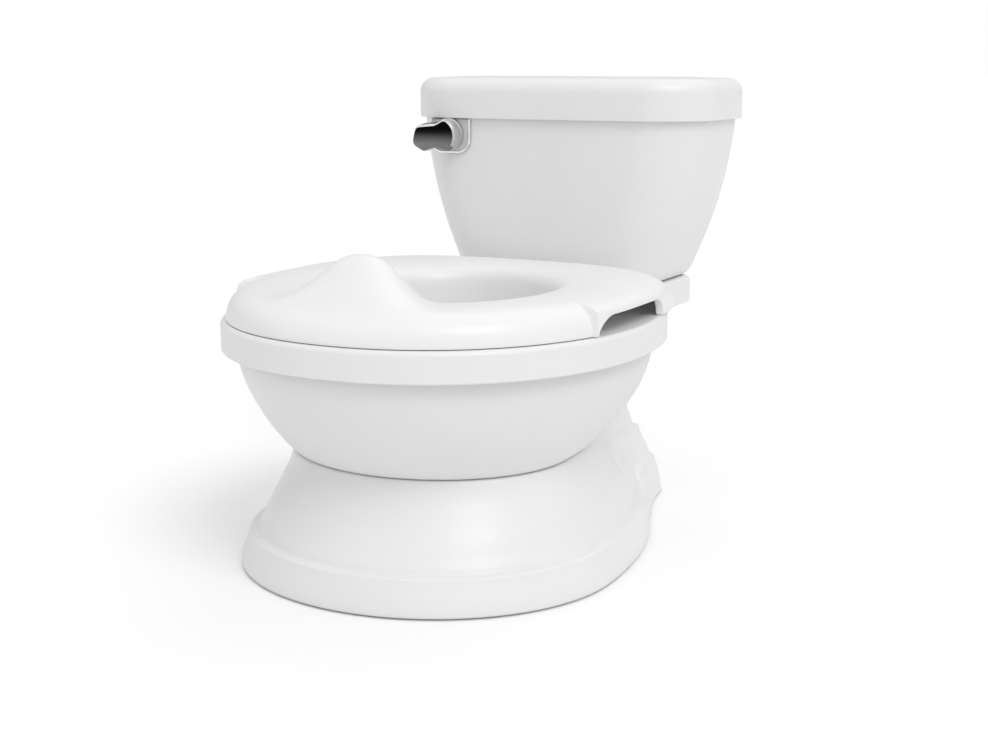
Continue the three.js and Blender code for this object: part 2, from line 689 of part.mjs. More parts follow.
function makeCam() {
  const hub = rod("y", CAM_Y, CAM_Y + CAM_THICKNESS, leverAxis, 6.6);
  const finger = box([LEVER_X - 3, CAM_Y, LEVER_Z - 11.5], [LEVER_X + 3, CAM_Y + CAM_THICKNESS, LEVER_Z]);
  return cut(union(hub, finger), rod("y", 100, 120, leverAxis, 4.1));
}

// ---------------------------------------------------------------- sound module

const MODULE = { low: [-65, 104.5, 236], high: [-14, 127, 279] };
const MODULE_WALL = 2;
const PLUNGER_RADIUS = 1.8;
const PLUNGER_TIP_X = LEVER_X + 3 + 0.3;
const plungerAxis = [CAM_Y + CAM_THICKNESS / 2, LEVER_Z - 8.5];
const MODULE_SCREW_SPOTS = [[-60, 240.5], [-19, 274.5]];

function makeModuleHousing() {
  const { low, high } = MODULE;
  const hollow = box(
    low.map((value) => value + MODULE_WALL),
    [high[0] - MODULE_WALL, high[1] + 5, high[2] - MODULE_WALL],
  );
  const posts = MODULE_SCREW_SPOTS.map((spot) => rod("y", low[1] + 1, high[1], spot, 3.6, 3.6, 14));
  const pilots = MODULE_SCREW_SPOTS.map((spot) => rod("y", high[1] - 12, high[1] + 1, spot, 1.5, 1.5, 10));
  const plungerHole = rod("x", low[0] - 1, low[0] + MODULE_WALL + 1, plungerAxis, PLUNGER_RADIUS + 0.5);
  return cut(union(cut(box(low, high), hollow), ...posts), ...pilots, plungerHole);
}

function makeModuleCover() {
  const { low, high } = MODULE;
  const plate = box([low[0], high[1] + 0.3, low[2]], [high[0], high[1] + 2.3, high[2]]);
  const holes = MODULE_SCREW_SPOTS.map((spot) => rod("y", high[1] - 1, high[1] + 5, spot, 1.7, 1.7, 12));
  return cut(plate, ...holes);
}

const BOARD = { low: [-55, 107.6, 243], high: [-20, 109.2, 268.5] };
const SPEAKER_AXIS = [-36, 256];

function makeSpeaker() {
  const frame = rod("y", 112, 114, SPEAKER_AXIS, 13, 13, 24);
  const magnet = rod("y", 113.5, 119, SPEAKER_AXIS, 7, 7, 20);
  const cone = rod("y", 111, 112.8, SPEAKER_AXIS, 10.5, 6, 24);
  return cut(union(frame, magnet), cone);
}

function makeSwitchBody() {
  const [y, z] = plungerAxis;
  const body = box([-61.5, y - 4, z - 3.5], [-51, y + 4, z + 3.5]);
  return cut(body, rod("x", -63, -53.2, plungerAxis, PLUNGER_RADIUS + 0.3));
}

function makePlunger() {
  return rod("x", PLUNGER_TIP_X, PLUNGER_TIP_X + 15, plungerAxis, PLUNGER_RADIUS, PLUNGER_RADIUS, 16);
}

// ---------------------------------------------------------------- battery box

const CELL_RADIUS = 5.25; // AAA cell
const CELL_LENGTH = 44.5;
const CELL_PITCH = 12.2;
const CELL_Y = 193.2;
const CELL_LOW = 200;
const BOX_CENTRE_X = (DOOR.xMin + DOOR.xMax) / 2;
const CELL_XS = [-CELL_PITCH, 0, CELL_PITCH].map((offset) => BOX_CENTRE_X + offset);
const DOOR_SCREW = [BOX_CENTRE_X, 256.5];

function makeBatteryBox() {
  const [xLow, xHigh] = [BOX_CENTRE_X - 21.5, BOX_CENTRE_X + 21.5];
  const rear = TANK_REAR_Y - WALL - 0.4;
  const shell = box([xLow, 184, 191], [xHigh, rear, 250]);
  const hollow = box([xLow + 1.8, 185.8, 192.8], [xHigh - 1.8, rear + 1, 248.2]);
  const lug = box([BOX_CENTRE_X - 5, 188, 249], [BOX_CENTRE_X + 5, rear, 261]);
  return cut(union(cut(shell, hollow), lug), rod("y", 186, rear + 1, DOOR_SCREW, 1.7, 1.7, 12));
}

function makeCell(x) {
  const nub = rod("z", CELL_LOW + CELL_LENGTH - 1, CELL_LOW + CELL_LENGTH + 0.8, [x, CELL_Y], 1.9, 1.9, 12);
  return union(rod("z", CELL_LOW, CELL_LOW + CELL_LENGTH - 0.8, [x, CELL_Y], CELL_RADIUS), nub);
}

function makeContactStrip() {
  const top = 248;
  return box([CELL_XS[0] - 4, CELL_Y - 4, top - 2], [CELL_XS[2] + 4, CELL_Y + 4, top - 1.2]);
}

function makeBatteryDoor() {
  const front = TANK_REAR_Y - WALL + 0.3;
  const plate = box(
    [DOOR.xMin + GAP, front, DOOR.low + GAP],
    [DOOR.xMax - GAP, TANK_REAR_Y - 0.2, DOOR.high - GAP],
  );
  const recess = rod("y", TANK_REAR_Y - 1.6, TANK_REAR_Y + 1, DOOR_SCREW, 3.4, 3.4, 18);
  return cut(plate, recess, rod("y", 195, TANK_REAR_Y + 1, DOOR_SCREW, 1.7, 1.7, 12));
}

// ---------------------------------------------------------------- assembly

const chair = new THREE.Group();
chair.name = "potty_training_chair";
const add = (name, solid, material) => chair.add(toMesh(name, solid, material));
const addEach = (name, spots, make, material) =>
  spots.forEach((spot, i) => add(`${name}_${i + 1}`, make(spot), material));

add("pedestal", makePedestal(), WHITE);
add("bowl_shell", makeBowlShell(), WHITE);
add("rim_ring", makeRimRing(), WHITE);
add("pot", makePot(), WHITE);
add("seat_topper", makeSeatTopper(), SEAT_WHITE);
add("tank_body", makeTankBody(), WHITE);
add("tank_lid", makeTankLid(), WHITE);
add("wipes_tray", makeWipesTray(), WHITE);

add("flush_lever", makeFlushLever(), CHROME);
add("lever_collar", makeLeverCollar(), CHROME);
add("lever_escutcheon", makeEscutcheon(), GREY_PLASTIC);
add("lever_spindle", makeSpindle(), STEEL);
add("lever_cam", makeCam(), DARK_PLASTIC);
add("lever_cam_screw", screw("y", leverAxis, CAM_Y + CAM_THICKNESS + 3.4, 106, 1.3, 5.5, 2.4), STEEL);
add("lever_return_spring", coil("y", 104.6, CAM_Y - 0.5, leverAxis, 6.2, 0.6, 3), STEEL);

add("sound_module_housing", makeModuleHousing(), DARK_PLASTIC);
add("sound_module_cover", makeModuleCover(), DARK_PLASTIC);
const coverFace = MODULE.high[1] + 2.6;
addEach(
  "module_screw",
  MODULE_SCREW_SPOTS,
  (spot) => screw("y", spot, coverFace + 1.8, MODULE.high[1] - 8, 1.2, 2.8, 1.8),
  STEEL,
);
add("circuit_board", box(BOARD.low, BOARD.high), BOARD_GREEN);
add("speaker", makeSpeaker(), DARK_PLASTIC);
add("switch_body", makeSwitchBody(), DARK_PLASTIC);
add("switch_plunger", makePlunger(), SEAT_WHITE);

add("battery_box", makeBatteryBox(), DARK_PLASTIC);
addEach("battery", CELL_XS, makeCell, BATTERY_SKIN);
addEach("battery_spring", CELL_XS, (x) => coil("z", 193.1, CELL_LOW - 0.3, [x, CELL_Y], 3, 0.4, 3), STEEL);
add("battery_contact_strip", makeContactStrip(), STEEL);
add("battery_door", makeBatteryDoor(), WHITE);
add("battery_door_screw", screw("y", DOOR_SCREW, TANK_REAR_Y - 0.1, 191, 1.3, 3, 1.3), STEEL);

addEach(
  "base_screw",
  BASE_SCREW_SPOTS,
  (spot) => screw("z", spot, SEAM_HEIGHT - WALL - 3.4, SEAM_HEIGHT + 9, 2, 4.5, 2.6),
  STEEL,
);
addEach("tank_screw", TANK_SCREW_SPOTS, (spot) => screw("z", spot, 163.6, 182, 2, 4.5, 2.6), STEEL);
addEach("rubber_foot", FOOT_SPOTS, (spot) => rod("z", 0, FLOOR_CLEARANCE - 0.3, spot, 9, 9, 24), RUBBER);
addEach("topper_pad", TOPPER_PAD_SPOTS, (spot) => rod("z", 170.3, 171.3, spot, 5.5, 5.5, 16), RUBBER);

export default chair;
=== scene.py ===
"""A child's potty training chair: the visual model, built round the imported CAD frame.

Shapes are worked out in millimetres, in the frame's own axes, and turned into metres as each mesh is made.
Most pieces are shells: rows of points round a horizontal outline, which is the zero line of a distance
function, so that two outlines can be joined with a fillet between them.
"""

import json
import math

import bpy
import numpy as np
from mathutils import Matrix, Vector


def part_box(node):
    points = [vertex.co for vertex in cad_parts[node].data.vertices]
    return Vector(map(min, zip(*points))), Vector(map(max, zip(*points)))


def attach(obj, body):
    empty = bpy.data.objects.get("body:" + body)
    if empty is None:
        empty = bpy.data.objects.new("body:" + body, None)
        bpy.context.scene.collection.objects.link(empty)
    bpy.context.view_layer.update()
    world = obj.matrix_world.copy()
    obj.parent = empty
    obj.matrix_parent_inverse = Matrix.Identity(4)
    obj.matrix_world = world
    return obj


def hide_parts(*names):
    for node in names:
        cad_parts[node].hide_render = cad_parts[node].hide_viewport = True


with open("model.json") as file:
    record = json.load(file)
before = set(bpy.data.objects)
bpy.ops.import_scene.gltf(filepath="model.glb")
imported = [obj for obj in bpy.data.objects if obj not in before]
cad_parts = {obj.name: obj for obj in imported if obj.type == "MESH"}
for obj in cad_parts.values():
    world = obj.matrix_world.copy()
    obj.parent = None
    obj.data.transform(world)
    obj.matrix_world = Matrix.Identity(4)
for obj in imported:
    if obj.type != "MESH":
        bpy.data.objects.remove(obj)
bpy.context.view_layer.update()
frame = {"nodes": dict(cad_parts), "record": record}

MM = 0.001
WALL = 3.0  # moulded wall thickness
LEVER_X, LEVER_Z = -77.0, 281.0  # the flush lever's axis


def box_mm(node):
    """The lowest and highest corner of a CAD node, in millimetres."""
    low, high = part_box(node)
    return np.array(low) / MM, np.array(high) / MM


# ---------------------------------------------------------------- curves and outlines


def smooth_curve(at, xs, ys):
    """A monotone cubic through the points (xs, ys), read at the values `at`."""
    xs, ys = np.asarray(xs, float), np.asarray(ys, float)
    step = np.diff(xs)
    slope = np.diff(ys) / step
    tangent = np.zeros(len(xs))
    tangent[0], tangent[-1] = slope[0], slope[-1]
    for i in range(1, len(xs) - 1):
        if slope[i - 1] * slope[i] > 0:
            near, far = 2 * step[i] + step[i - 1], step[i] + 2 * step[i - 1]
            tangent[i] = (near + far) / (near / slope[i - 1] + far / slope[i])
    at = np.clip(np.asarray(at, float), xs[0], xs[-1])
    i = np.clip(np.searchsorted(xs, at) - 1, 0, len(xs) - 2)
    t = (at - xs[i]) / step[i]
    return (
        ys[i] * (1 + 2 * t) * (1 - t) ** 2
        + step[i] * tangent[i] * t * (1 - t) ** 2
        + ys[i + 1] * t**2 * (3 - 2 * t)
        + step[i] * tangent[i + 1] * t**2 * (t - 1)
    )


def smooth_step(value, low, high):
    """0 below low, 1 above high and a smooth rise between them."""
    t = np.clip((value - low) / (high - low), 0, 1)
    return t * t * (3 - 2 * t)


def smooth_union(a, b, radius):
    """The smaller of two distances, with a fillet of about that radius where they meet."""
    h = np.clip(0.5 + 0.5 * (b - a) / radius, 0, 1)
    return b * (1 - h) + a * h - radius * h * (1 - h)


def oval(x, y, half, front, rear, centre, power=2.0, rear_power=None):
    """About how far (x, y) lies outside an oval with its widest line at y = centre."""
    ahead = y < centre
    reach = np.where(ahead, centre - front, rear - centre)
    p = np.where(ahead, power, rear_power or power)
    size = (np.abs(x / half) ** p + np.abs((y - centre) / reach) ** p) ** (1 / p)
    return (size - 1) * np.minimum(half, reach)


def rounded_box(x, y, half, front, rear, front_radius, rear_radius, bow=0.0):
    """How far (x, y) lies outside a box with round corners and a front that bows forwards."""
    y = y - bow * (x / half) ** 2 * smooth_step(-y, -rear, -front)
    ahead = y < (front + rear) / 2
    radius = np.where(ahead, front_radius, rear_radius)
    across = np.abs(x) - half + radius
    along = np.where(ahead, front + radius - y, y - rear + radius)
    outside = np.hypot(np.maximum(across, 0), np.maximum(along, 0))
    return outside + np.minimum(np.maximum(across, along), 0) - radius


def trace(distance, centre_y, angles, reach=420.0):
    """Points where rays from (0, centre_y) leave the outline; one row for each row that distance gives."""
    c, s = np.cos(angles), np.sin(angles)
    rows = np.shape(distance(0 * c, 0 * s + centre_y))
    low, high = np.zeros(rows), np.full(rows, reach)
    for _ in range(36):
        middle = (low + high) / 2
        inside = distance(middle * c, centre_y + middle * s) < 0
        low, high = np.where(inside, middle, low), np.where(inside, high, middle)
    return np.stack([low * c, centre_y + low * s], axis=-1)


def spaced_angles(distance, centre_y, count, density=lambda x, y: 1.0):
    """Ray angles, from the front round, that part the outline evenly, or closer where density is over 1."""
    dense = np.linspace(-math.pi / 2, 1.5 * math.pi, 6001)
    points = trace(distance, centre_y, dense)
    middle = (points[1:] + points[:-1]) / 2
    length = np.linalg.norm(np.diff(points, axis=0), axis=1) * density(middle[:, 0], middle[:, 1])
    travelled = np.concatenate([[0], np.cumsum(length)])
    return np.interp(np.arange(count) / count * travelled[-1], travelled, dense)


def rounded(points, steps=6):
    """An open line of (inset, z, radius) corners as (inset, z) points.

    Each corner that has a radius gets an arc, and a guard point close to each end of the arc, which keeps
    the flats flat in smooth shading.
    """
    made = []
    for i, (u, z, radius) in enumerate(points):
        here = np.array([u, z], float)
        if radius == 0 or i in (0, len(points) - 1):
            made.append(here)
            continue
        to_last = np.array(points[i - 1][:2], float) - here
        to_next = np.array(points[i + 1][:2], float) - here
        room = [np.linalg.norm(to_last), np.linalg.norm(to_next)]
        to_last, to_next = to_last / room[0], to_next / room[1]
        half_turn = math.acos(np.clip(to_last @ to_next, -1, 1)) / 2
        cut_back = min(radius / math.tan(half_turn), 0.49 * min(room))
        radius = cut_back * math.tan(half_turn)
        guard = cut_back + min(0.8, 0.2 * min(room))
        to_centre = (to_last + to_next) / np.linalg.norm(to_last + to_next)
        centre = here + to_centre * radius / math.sin(half_turn)
        made.append(here + to_last * guard)
        start, end = here + to_last * cut_back - centre, here + to_next * cut_back - centre
        turn = math.atan2(start[0] * end[1] - start[1] * end[0], start @ end)
        for k in range(steps + 1):
            c, s = math.cos(turn * k / steps), math.sin(turn * k / steps)
            made.append(centre + [c * start[0] - s * start[1], s * start[0] + c * start[1]])
        made.append(here + to_next * guard)
    return np.array(made)


# ---------------------------------------------------------------- meshes


def piece(name, points, faces, body, material, replaces):
    """A mesh object from points in millimetres, which rides on a body and stands for CAD nodes."""
    mesh = bpy.data.meshes.new(name)
    mesh.from_pydata((np.asarray(points, float) * MM).tolist(), [], faces)
    mesh.validate()
    mesh.shade_smooth()
    mesh.materials.append(material)
    made = bpy.data.objects.new(name, mesh)
    bpy.context.scene.collection.objects.link(made)
    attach(made, body)
    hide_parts(*replaces)
    return made


def grid_faces(rows, count, loop):
    """Quads between rows of points; loop joins the last row to the first."""
    faces = []
    for row in range(rows if loop else rows - 1):
        low, high = row * count, (row + 1) % rows * count
        for i in range(count):
            j = (i + 1) % count
            faces.append((low + i, low + j, high + j, high + i))
    return faces


def shell_mesh(rows, loop=False):
    """Points and faces of a closed shell from rows of points: a cap closes each end, or loop joins them."""
    rows = np.asarray(rows, float)
    count = rows.shape[1]
    points = rows.reshape(-1, 3)
    faces = grid_faces(len(rows), count, loop)
    if not loop:
        first, last = len(points), (len(rows) - 1) * count
        points = np.vstack([points, rows[0].mean(0), rows[-1].mean(0)])
        for i in range(count):
            j = (i + 1) % count
            faces.append((first, j, i))
            faces.append((first + 1, last + i, last + j))
    return points, faces


def lifted(outlines, heights):
    """Rows of 3-D points from rows of 2-D points and a height for each row."""
    heights = np.broadcast_to(np.asarray(heights, float)[:, None, None], outlines.shape[:2] + (1,))
    return np.concatenate([outlines, heights], axis=-1)


def column(values):
    """Values as a column, so that a distance function gives one row of points for each."""
    return np.asarray(values, float)[:, None]


def traced_rows(outline, profile, centre, angles):
    """Rows of points of an outline that changes with height, for a profile of (inset, z)."""
    profile = np.array(profile, float)
    z, inset = column(profile[:, 1]), column(profile[:, 0])
    return lifted(trace(lambda x, y: outline(x, y, z, inset), centre, angles), profile[:, 1])


def upright_rows(outline, profile, centre, angles):
    """Rows of points of an outline that is the same at every height, for a profile of (inset, z)."""
    return traced_rows(lambda x, y, z, inset: outline(x, y, inset), profile, centre, angles)


def crease(made, degrees):
    """Smooth shading, with edges sharper than an angle kept crisp."""
    made.data.set_sharp_from_angle(angle=math.radians(degrees))


def apply_modifiers(made):
    """The object's mesh as its modifiers leave it."""
    bpy.context.view_layer.update()
    evaluated = made.evaluated_get(bpy.context.evaluated_depsgraph_get())
    mesh = bpy.data.meshes.new_from_object(evaluated)
    made.modifiers.clear()
    made.data = mesh


def cut_or_join(made, operation, tool_points, tool_faces):
    """A boolean with a closed tool mesh, applied."""
    mesh = bpy.data.meshes.new("tool")
    mesh.from_pydata((np.asarray(tool_points, float) * MM).tolist(), [], tool_faces)
    tool = bpy.data.objects.new("tool", mesh)
    bpy.context.scene.collection.objects.link(tool)
    modifier = made.modifiers.new("boolean", "BOOLEAN")
    modifier.operation = operation
    modifier.solver = "EXACT"
    modifier.object = tool
    apply_modifiers(made)
    bpy.data.objects.remove(tool)


def box_mesh(low, high):
    """Points and faces of a box between two corners."""
    corners = [(x, y, z) for x in (low[0], high[0]) for y in (low[1], high[1]) for z in (low[2], high[2])]
    faces = [(0, 1, 3, 2), (4, 6, 7, 5), (0, 4, 5, 1), (2, 3, 7, 6), (0, 2, 6, 4), (1, 5, 7, 3)]
    return corners, faces


# ---------------------------------------------------------------- materials


def node_adder(tree):
    """A function that adds a node to a tree and sets its sockets and properties by name."""

    def add(kind, **settings):
        node = tree.nodes.new(kind)
        for key, value in settings.items():
            socket = key.replace("_", " ")
            if socket in node.inputs:
                node.inputs[socket].default_value = value
            else:
                setattr(node, key, value)
        return node

    return add


def set_stops(ramp_node, stops):
    """Give a colour ramp its stops, as (position, colour) from the first to the last."""
    elements = ramp_node.color_ramp.elements
    for element, (position, colour) in zip(elements, (stops[0], stops[-1])):
        element.position = position
        element.color = colour
    for position, colour in stops[1:-1]:
        elements.new(position).color = colour


def material_nodes(name, **constants):
    """A new material, its Principled shader, its link function and a function that adds nodes to it."""
    made = bpy.data.materials.new(name)
    made.use_nodes = True
    tree = made.node_tree
    shader = tree.nodes["Principled BSDF"]
    for socket, value in constants.items():
        shader.inputs[socket.replace("_", " ")].default_value = value
    return made, shader, tree.links.new, node_adder(tree)


def grey(value):
    """An opaque grey, as a linear colour."""
    return (value, value, value, 1.0)


def moulded_plastic(name, dark, light, roughness, grain=0.00002, grain_scale=1400.0):
    """Injection-moulded plastic: faint cloudy colour, uneven gloss and the mould's fine grain."""
    made, shader, link, add = material_nodes(name, Specular_IOR_Level=0.5)
    place = add("ShaderNodeTexCoord").outputs["Object"]
    cloud = add("ShaderNodeTexNoise", Scale=14.0, Detail=3.0)
    colours = add("ShaderNodeValToRGB")
    set_stops(colours, [(0.3, dark), (0.7, light)])
    gloss = add("ShaderNodeTexNoise", Scale=60.0, Detail=4.0)
    gloss_range = add("ShaderNodeMapRange", To_Min=roughness - 0.04, To_Max=roughness + 0.04)
    fine = add("ShaderNodeTexNoise", Scale=grain_scale, Detail=2.0)
    bump = add("ShaderNodeBump", Strength=0.35, Distance=grain)
    for noise in (cloud, gloss, fine):
        link(place, noise.inputs["Vector"])
    link(cloud.outputs["Fac"], colours.inputs["Fac"])
    link(colours.outputs["Color"], shader.inputs["Base Color"])
    link(gloss.outputs["Fac"], gloss_range.inputs["Value"])
    link(gloss_range.outputs["Result"], shader.inputs["Roughness"])
    link(fine.outputs["Fac"], bump.inputs["Height"])
    link(bump.outputs["Normal"], shader.inputs["Normal"])
    return made


def plated_metal(name, dark, light, roughness):
    """Bright metal with faint clouding and hairline polishing marks."""
    made, shader, link, add = material_nodes(name, Metallic=1.0)
    place = add("ShaderNodeTexCoord").outputs["Object"]
    stretch = add("ShaderNodeMapping", Scale=(1.0, 6.0, 1.0))
    cloud = add("ShaderNodeTexNoise", Scale=40.0, Detail=2.0)
    colours = add("ShaderNodeValToRGB")
    set_stops(colours, [(0.0, dark), (1.0, light)])
    marks = add("ShaderNodeTexNoise", Scale=220.0, Detail=5.0)
    gloss_range = add("ShaderNodeMapRange", To_Min=roughness * 0.7, To_Max=roughness * 1.3)
    link(place, cloud.inputs["Vector"])
    link(place, stretch.inputs["Vector"])
    link(stretch.outputs["Vector"], marks.inputs["Vector"])
    link(cloud.outputs["Fac"], colours.inputs["Fac"])
    link(colours.outputs["Color"], shader.inputs["Base Color"])
    link(marks.outputs["Fac"], gloss_range.inputs["Value"])
    link(gloss_range.outputs["Result"], shader.inputs["Roughness"])
    return made


def painted_reflection_face(name):
    """The lever's face with a painted reflection: black along its top and greyer downwards, as dark
    surroundings above and the pale floor below would show in it, with faint brushed streaks.
    """
    made, shader, link, add = material_nodes(name, Roughness=0.3, Specular_IOR_Level=0.05)
    place = add("ShaderNodeTexCoord").outputs["Object"]
    split = add("ShaderNodeSeparateXYZ")
    stretch = add("ShaderNodeMapping", Scale=(8.0, 1.0, 240.0))
    streaks = add("ShaderNodeTexNoise", Scale=2.0, Detail=3.0)
    blend = add("ShaderNodeMath", operation="MULTIPLY_ADD")
    blend.inputs[1].default_value = 0.002  # how far the streaks shift the shades up and down, in metres
    span = add("ShaderNodeMapRange", From_Min=(LEVER_Z - 12) * MM, From_Max=(LEVER_Z + 8) * MM)
    colours = add("ShaderNodeValToRGB")
    shades = [(0, 0.26), (0.3, 0.23), (0.45, 0.14), (0.6, 0.065), (0.74, 0.012), (0.84, 0.001), (1, 0.001)]
    set_stops(colours, [(position, grey(value)) for position, value in shades])
    link(place, split.inputs["Vector"])
    link(place, stretch.inputs["Vector"])
    link(stretch.outputs["Vector"], streaks.inputs["Vector"])
    link(streaks.outputs["Fac"], blend.inputs[0])
    link(split.outputs["Z"], blend.inputs[2])
    link(blend.outputs["Value"], span.inputs["Value"])
    link(span.outputs["Result"], colours.inputs["Fac"])
    link(colours.outputs["Color"], shader.inputs["Base Color"])
    return made


BODY_WHITE = moulded_plastic("body_white", grey(0.85), grey(0.87), 0.36)
SEAT_WHITE = moulded_plastic("seat_white", grey(0.88), grey(0.90), 0.34)
LIGHT_GREY = moulded_plastic("light_grey", grey(0.62), grey(0.66), 0.25)
# dark plastic parts, and also the painted shadow in black in the escutcheon's undercut
DARK_PLASTIC_AND_PAINTED_SHADOW = moulded_plastic("dark_plastic", grey(0.018), grey(0.03), 0.5, 0.00006, 900.0)
RUBBER = moulded_plastic("soft_rubber", grey(0.52), grey(0.6), 0.75, 0.0001, 700.0)
BOARD_GREEN = moulded_plastic("board_green", (0.008, 0.07, 0.025, 1), (0.015, 0.11, 0.04, 1), 0.35)
CELL_SKIN = moulded_plastic("cell_skin", (0.27, 0.14, 0.05, 1), (0.34, 0.18, 0.07, 1), 0.3)
CHROME = plated_metal("lever_chrome", grey(0.78), grey(0.86), 0.08)
# a brighter copy of the chrome that paints highlights on the lever's rim and the escutcheon's bevel
PAINTED_HIGHLIGHT_EDGE = plated_metal("painted_highlight_edge", grey(0.95), grey(1.0), 0.25)
SATIN_CHROME = plated_metal("satin_chrome", grey(0.6), grey(0.68), 0.6)
STEEL = plated_metal("zinc_steel", grey(0.42), grey(0.56), 0.3)

SLOT_MATERIALS = {
    "body_plastic": BODY_WHITE,
    "seat_plastic": SEAT_WHITE,
    "lever_chrome": CHROME,
    "grey_plastic": LIGHT_GREY,
    "dark_plastic": DARK_PLASTIC_AND_PAINTED_SHADOW,
    "rubber": RUBBER,
    "steel": STEEL,
    "board": BOARD_GREEN,
    "battery_skin": CELL_SKIN,
}

# ---------------------------------------------------------------- rim ring and deck

ring_low, ring_high = box_mm("rim_ring")
RING_HALF, RING_FRONT = ring_high[0], ring_low[1]
RING_BOTTOM, RING_TOP = ring_low[2], ring_high[2]
DECK_REAR = ring_high[1]
SEAT_CENTRE = -50.0  # ring, seat and pot are widest at this y
RING_REAR = 120.0
RING_POWER = 2.1
DECK_HALF, DECK_FRONT = 88.0, 20.0
DECK_FRONT_RADIUS, DECK_REAR_RADIUS, DECK_FILLET = 6, 16, 7

pot_low, pot_high = box_mm("pot")
POT_FLANGE = 8.5
POT_HALF = pot_high[0] - POT_FLANGE
POT_FRONT, POT_REAR = pot_low[1] + POT_FLANGE, pot_high[1] - POT_FLANGE
POT_CLEARANCE = 1.6


def ring_outline(x, y, inset):
    """The seat ring, joined to the deck behind it that carries the tank."""
    ring = oval(x, y, RING_HALF - inset, RING_FRONT + inset, RING_REAR - inset, SEAT_CENTRE, RING_POWER)
    radii = DECK_FRONT_RADIUS, DECK_REAR_RADIUS - inset
    deck = rounded_box(x, y, DECK_HALF - inset, DECK_FRONT, DECK_REAR - inset, *radii)
    return smooth_union(ring, deck, DECK_FILLET)


def pot_outline(x, y, inset):
    return oval(x, y, POT_HALF - inset, POT_FRONT + inset, POT_REAR - inset, SEAT_CENTRE)


def make_rim_ring():
    centre = 40.0
    angles = spaced_angles(lambda x, y: ring_outline(x, y, 0), centre, 320)
    under = RING_TOP - WALL
    opening = -POT_CLEARANCE
    # From the bottom of the outer wall over the top, down through the opening and back underneath.
    outer_wall = [(0.9, RING_BOTTOM, 0), (0, RING_BOTTOM + 0.9, 0), (0, RING_TOP, 3.4), (14, RING_TOP, 0)]
    opening_wall = [(opening - 4, RING_TOP, 0), (opening, RING_TOP, 1.2), (opening, RING_BOTTOM, 0)]
    rows = [
        upright_rows(outline, profile, centre, angles)
        for outline, profile in (
            (ring_outline, rounded(outer_wall, 8)),
            (pot_outline, rounded(opening_wall)),
            (pot_outline, [(opening - WALL, RING_BOTTOM), (opening - WALL, under)]),
            (ring_outline, [(WALL, under), (WALL, RING_BOTTOM)]),
        )
    ]
    points, faces = shell_mesh(np.concatenate(rows), loop=True)
    made = piece("rim_ring_moulding", points, faces, "root", BODY_WHITE, ["rim_ring"])
    crease(made, 40)


# ---------------------------------------------------------------- bowl shell

bowl_low, bowl_high = box_mm("bowl_shell")
SEAM = bowl_low[2]
# Height, half width, front, rear and the y of the widest line.
BOWL_LEVELS = np.array(
    [
        (SEAM, 95.5, -154, 100, -68),
        (80, 98.5, -157, 102, -67),
        (84, 103, -161.5, 103, -65),
        (90, 108.4, -168, 104, -62),
        (100, 116, -178, 106, -56),
        (110, 122.7, -185.5, 108, -52),
        (120, 128.3, -191.5, 110, -50),
        (130, 132.7, -196, 111, -50),
        (140, 135.6, -199, 112, -50),
        (149, 136.6, -200, 112, -50),
        (bowl_high[2], 136.8, -200.2, 112.2, -50),
    ]
)


def at_height(levels, z):
    """Each measure of a table of levels, read at the height z."""
    return [smooth_curve(z, levels[:, 0], measure) for measure in levels[:, 1:].T]


def bowl_outline(x, y, z, inset):
    half, front, rear, centre = at_height(BOWL_LEVELS, z)
    return oval(x, y, half - inset, front + inset, rear - inset, centre)


def make_bowl_shell():
    centre = -40.0
    angles = spaced_angles(lambda x, y: bowl_outline(x, y, 120.0, 0), centre, 288)
    top = bowl_high[2]
    outer = [(1.6, SEAM), (0.5, SEAM + 0.15), (0.1, SEAM + 0.6)]
    outer += [(0, z) for z in np.linspace(SEAM + 1.2, top - 0.6, 42)]
    inner = [(0.6, top), (WALL - 0.6, top)]
    inner += [(WALL, z) for z in np.linspace(top - 0.6, SEAM + WALL + 1, 16)]
    inner += [(WALL + 2, SEAM + WALL)]
    points, faces = shell_mesh(traced_rows(bowl_outline, outer + inner, centre, angles))
    piece("bowl_moulding", points, faces, "root", BODY_WHITE, ["bowl_shell"])


# ---------------------------------------------------------------- pedestal

pedestal_low, pedestal_high = box_mm("pedestal")
FOOT_BOTTOM = pedestal_low[2]
FOOT_TOP = SEAM - 0.4
FOOT_CENTRE = -71.7
# Height, half width, front and rear.
FOOT_LEVELS = np.array(
    [
        (FOOT_BOTTOM, 132.6, -196.2, 154),
        (FOOT_BOTTOM + 1, 133.1, -196.7, 154.6),
        (22.6, 127.5, -190.9, 143.2),
        (23.7, 127.2, -190.6, 142.8),
        (24, 126.9, -190.3, 142.5),
        (25, 125.3, -188.7, 141.3),
        (25.15, 124.8, -188.2, 141),
        (25.25, 122.2, -185.6, 139.9),
        (25.6, 121.4, -184.9, 139.5),
        (26.4, 120.9, -184.4, 139.1),
        (28, 120.1, -183.7, 138.4),
        (34, 116.9, -180.1, 133),
        (42, 113.5, -175.2, 121),
        (50, 109.5, -169.8, 109),
        (60, 104.4, -163.8, 101.5),
        (68, 100.6, -159.4, 96),
        (FOOT_TOP, 97.2, -155.8, 90),
    ]
)
COLUMN_FRONT, COLUMN_REAR = 40.0, pedestal_high[1]
COLUMN_FRONT_RADIUS, COLUMN_REAR_RADIUS = 12, 20
COLUMN_TAPER = 0.12  # the column grows wider forwards by this share
PEDESTAL_FILLET = 6
INTO_BOWL = 2.4  # how far the column's front runs into the bowl's wall, so that the joint is clean
# Height and half width.
COLUMN_LEVELS = np.array(
    [(1.5, 71), (17, 68), (28, 64), (51, 52.5), (72, 45), (92, 42.5), (120, 43.5), (145, 48), (166.3, 52)]
)

# Trapway panels: how far each stands out, its front y, the height of its top and how much lower that is at
# the rear, and how far its round front corner reaches along y and down.
PANELS = [(3.7, 66, 52.8, 2.5, 52, 25), (2.6, 88, 30.8, 3, 35, 19)]


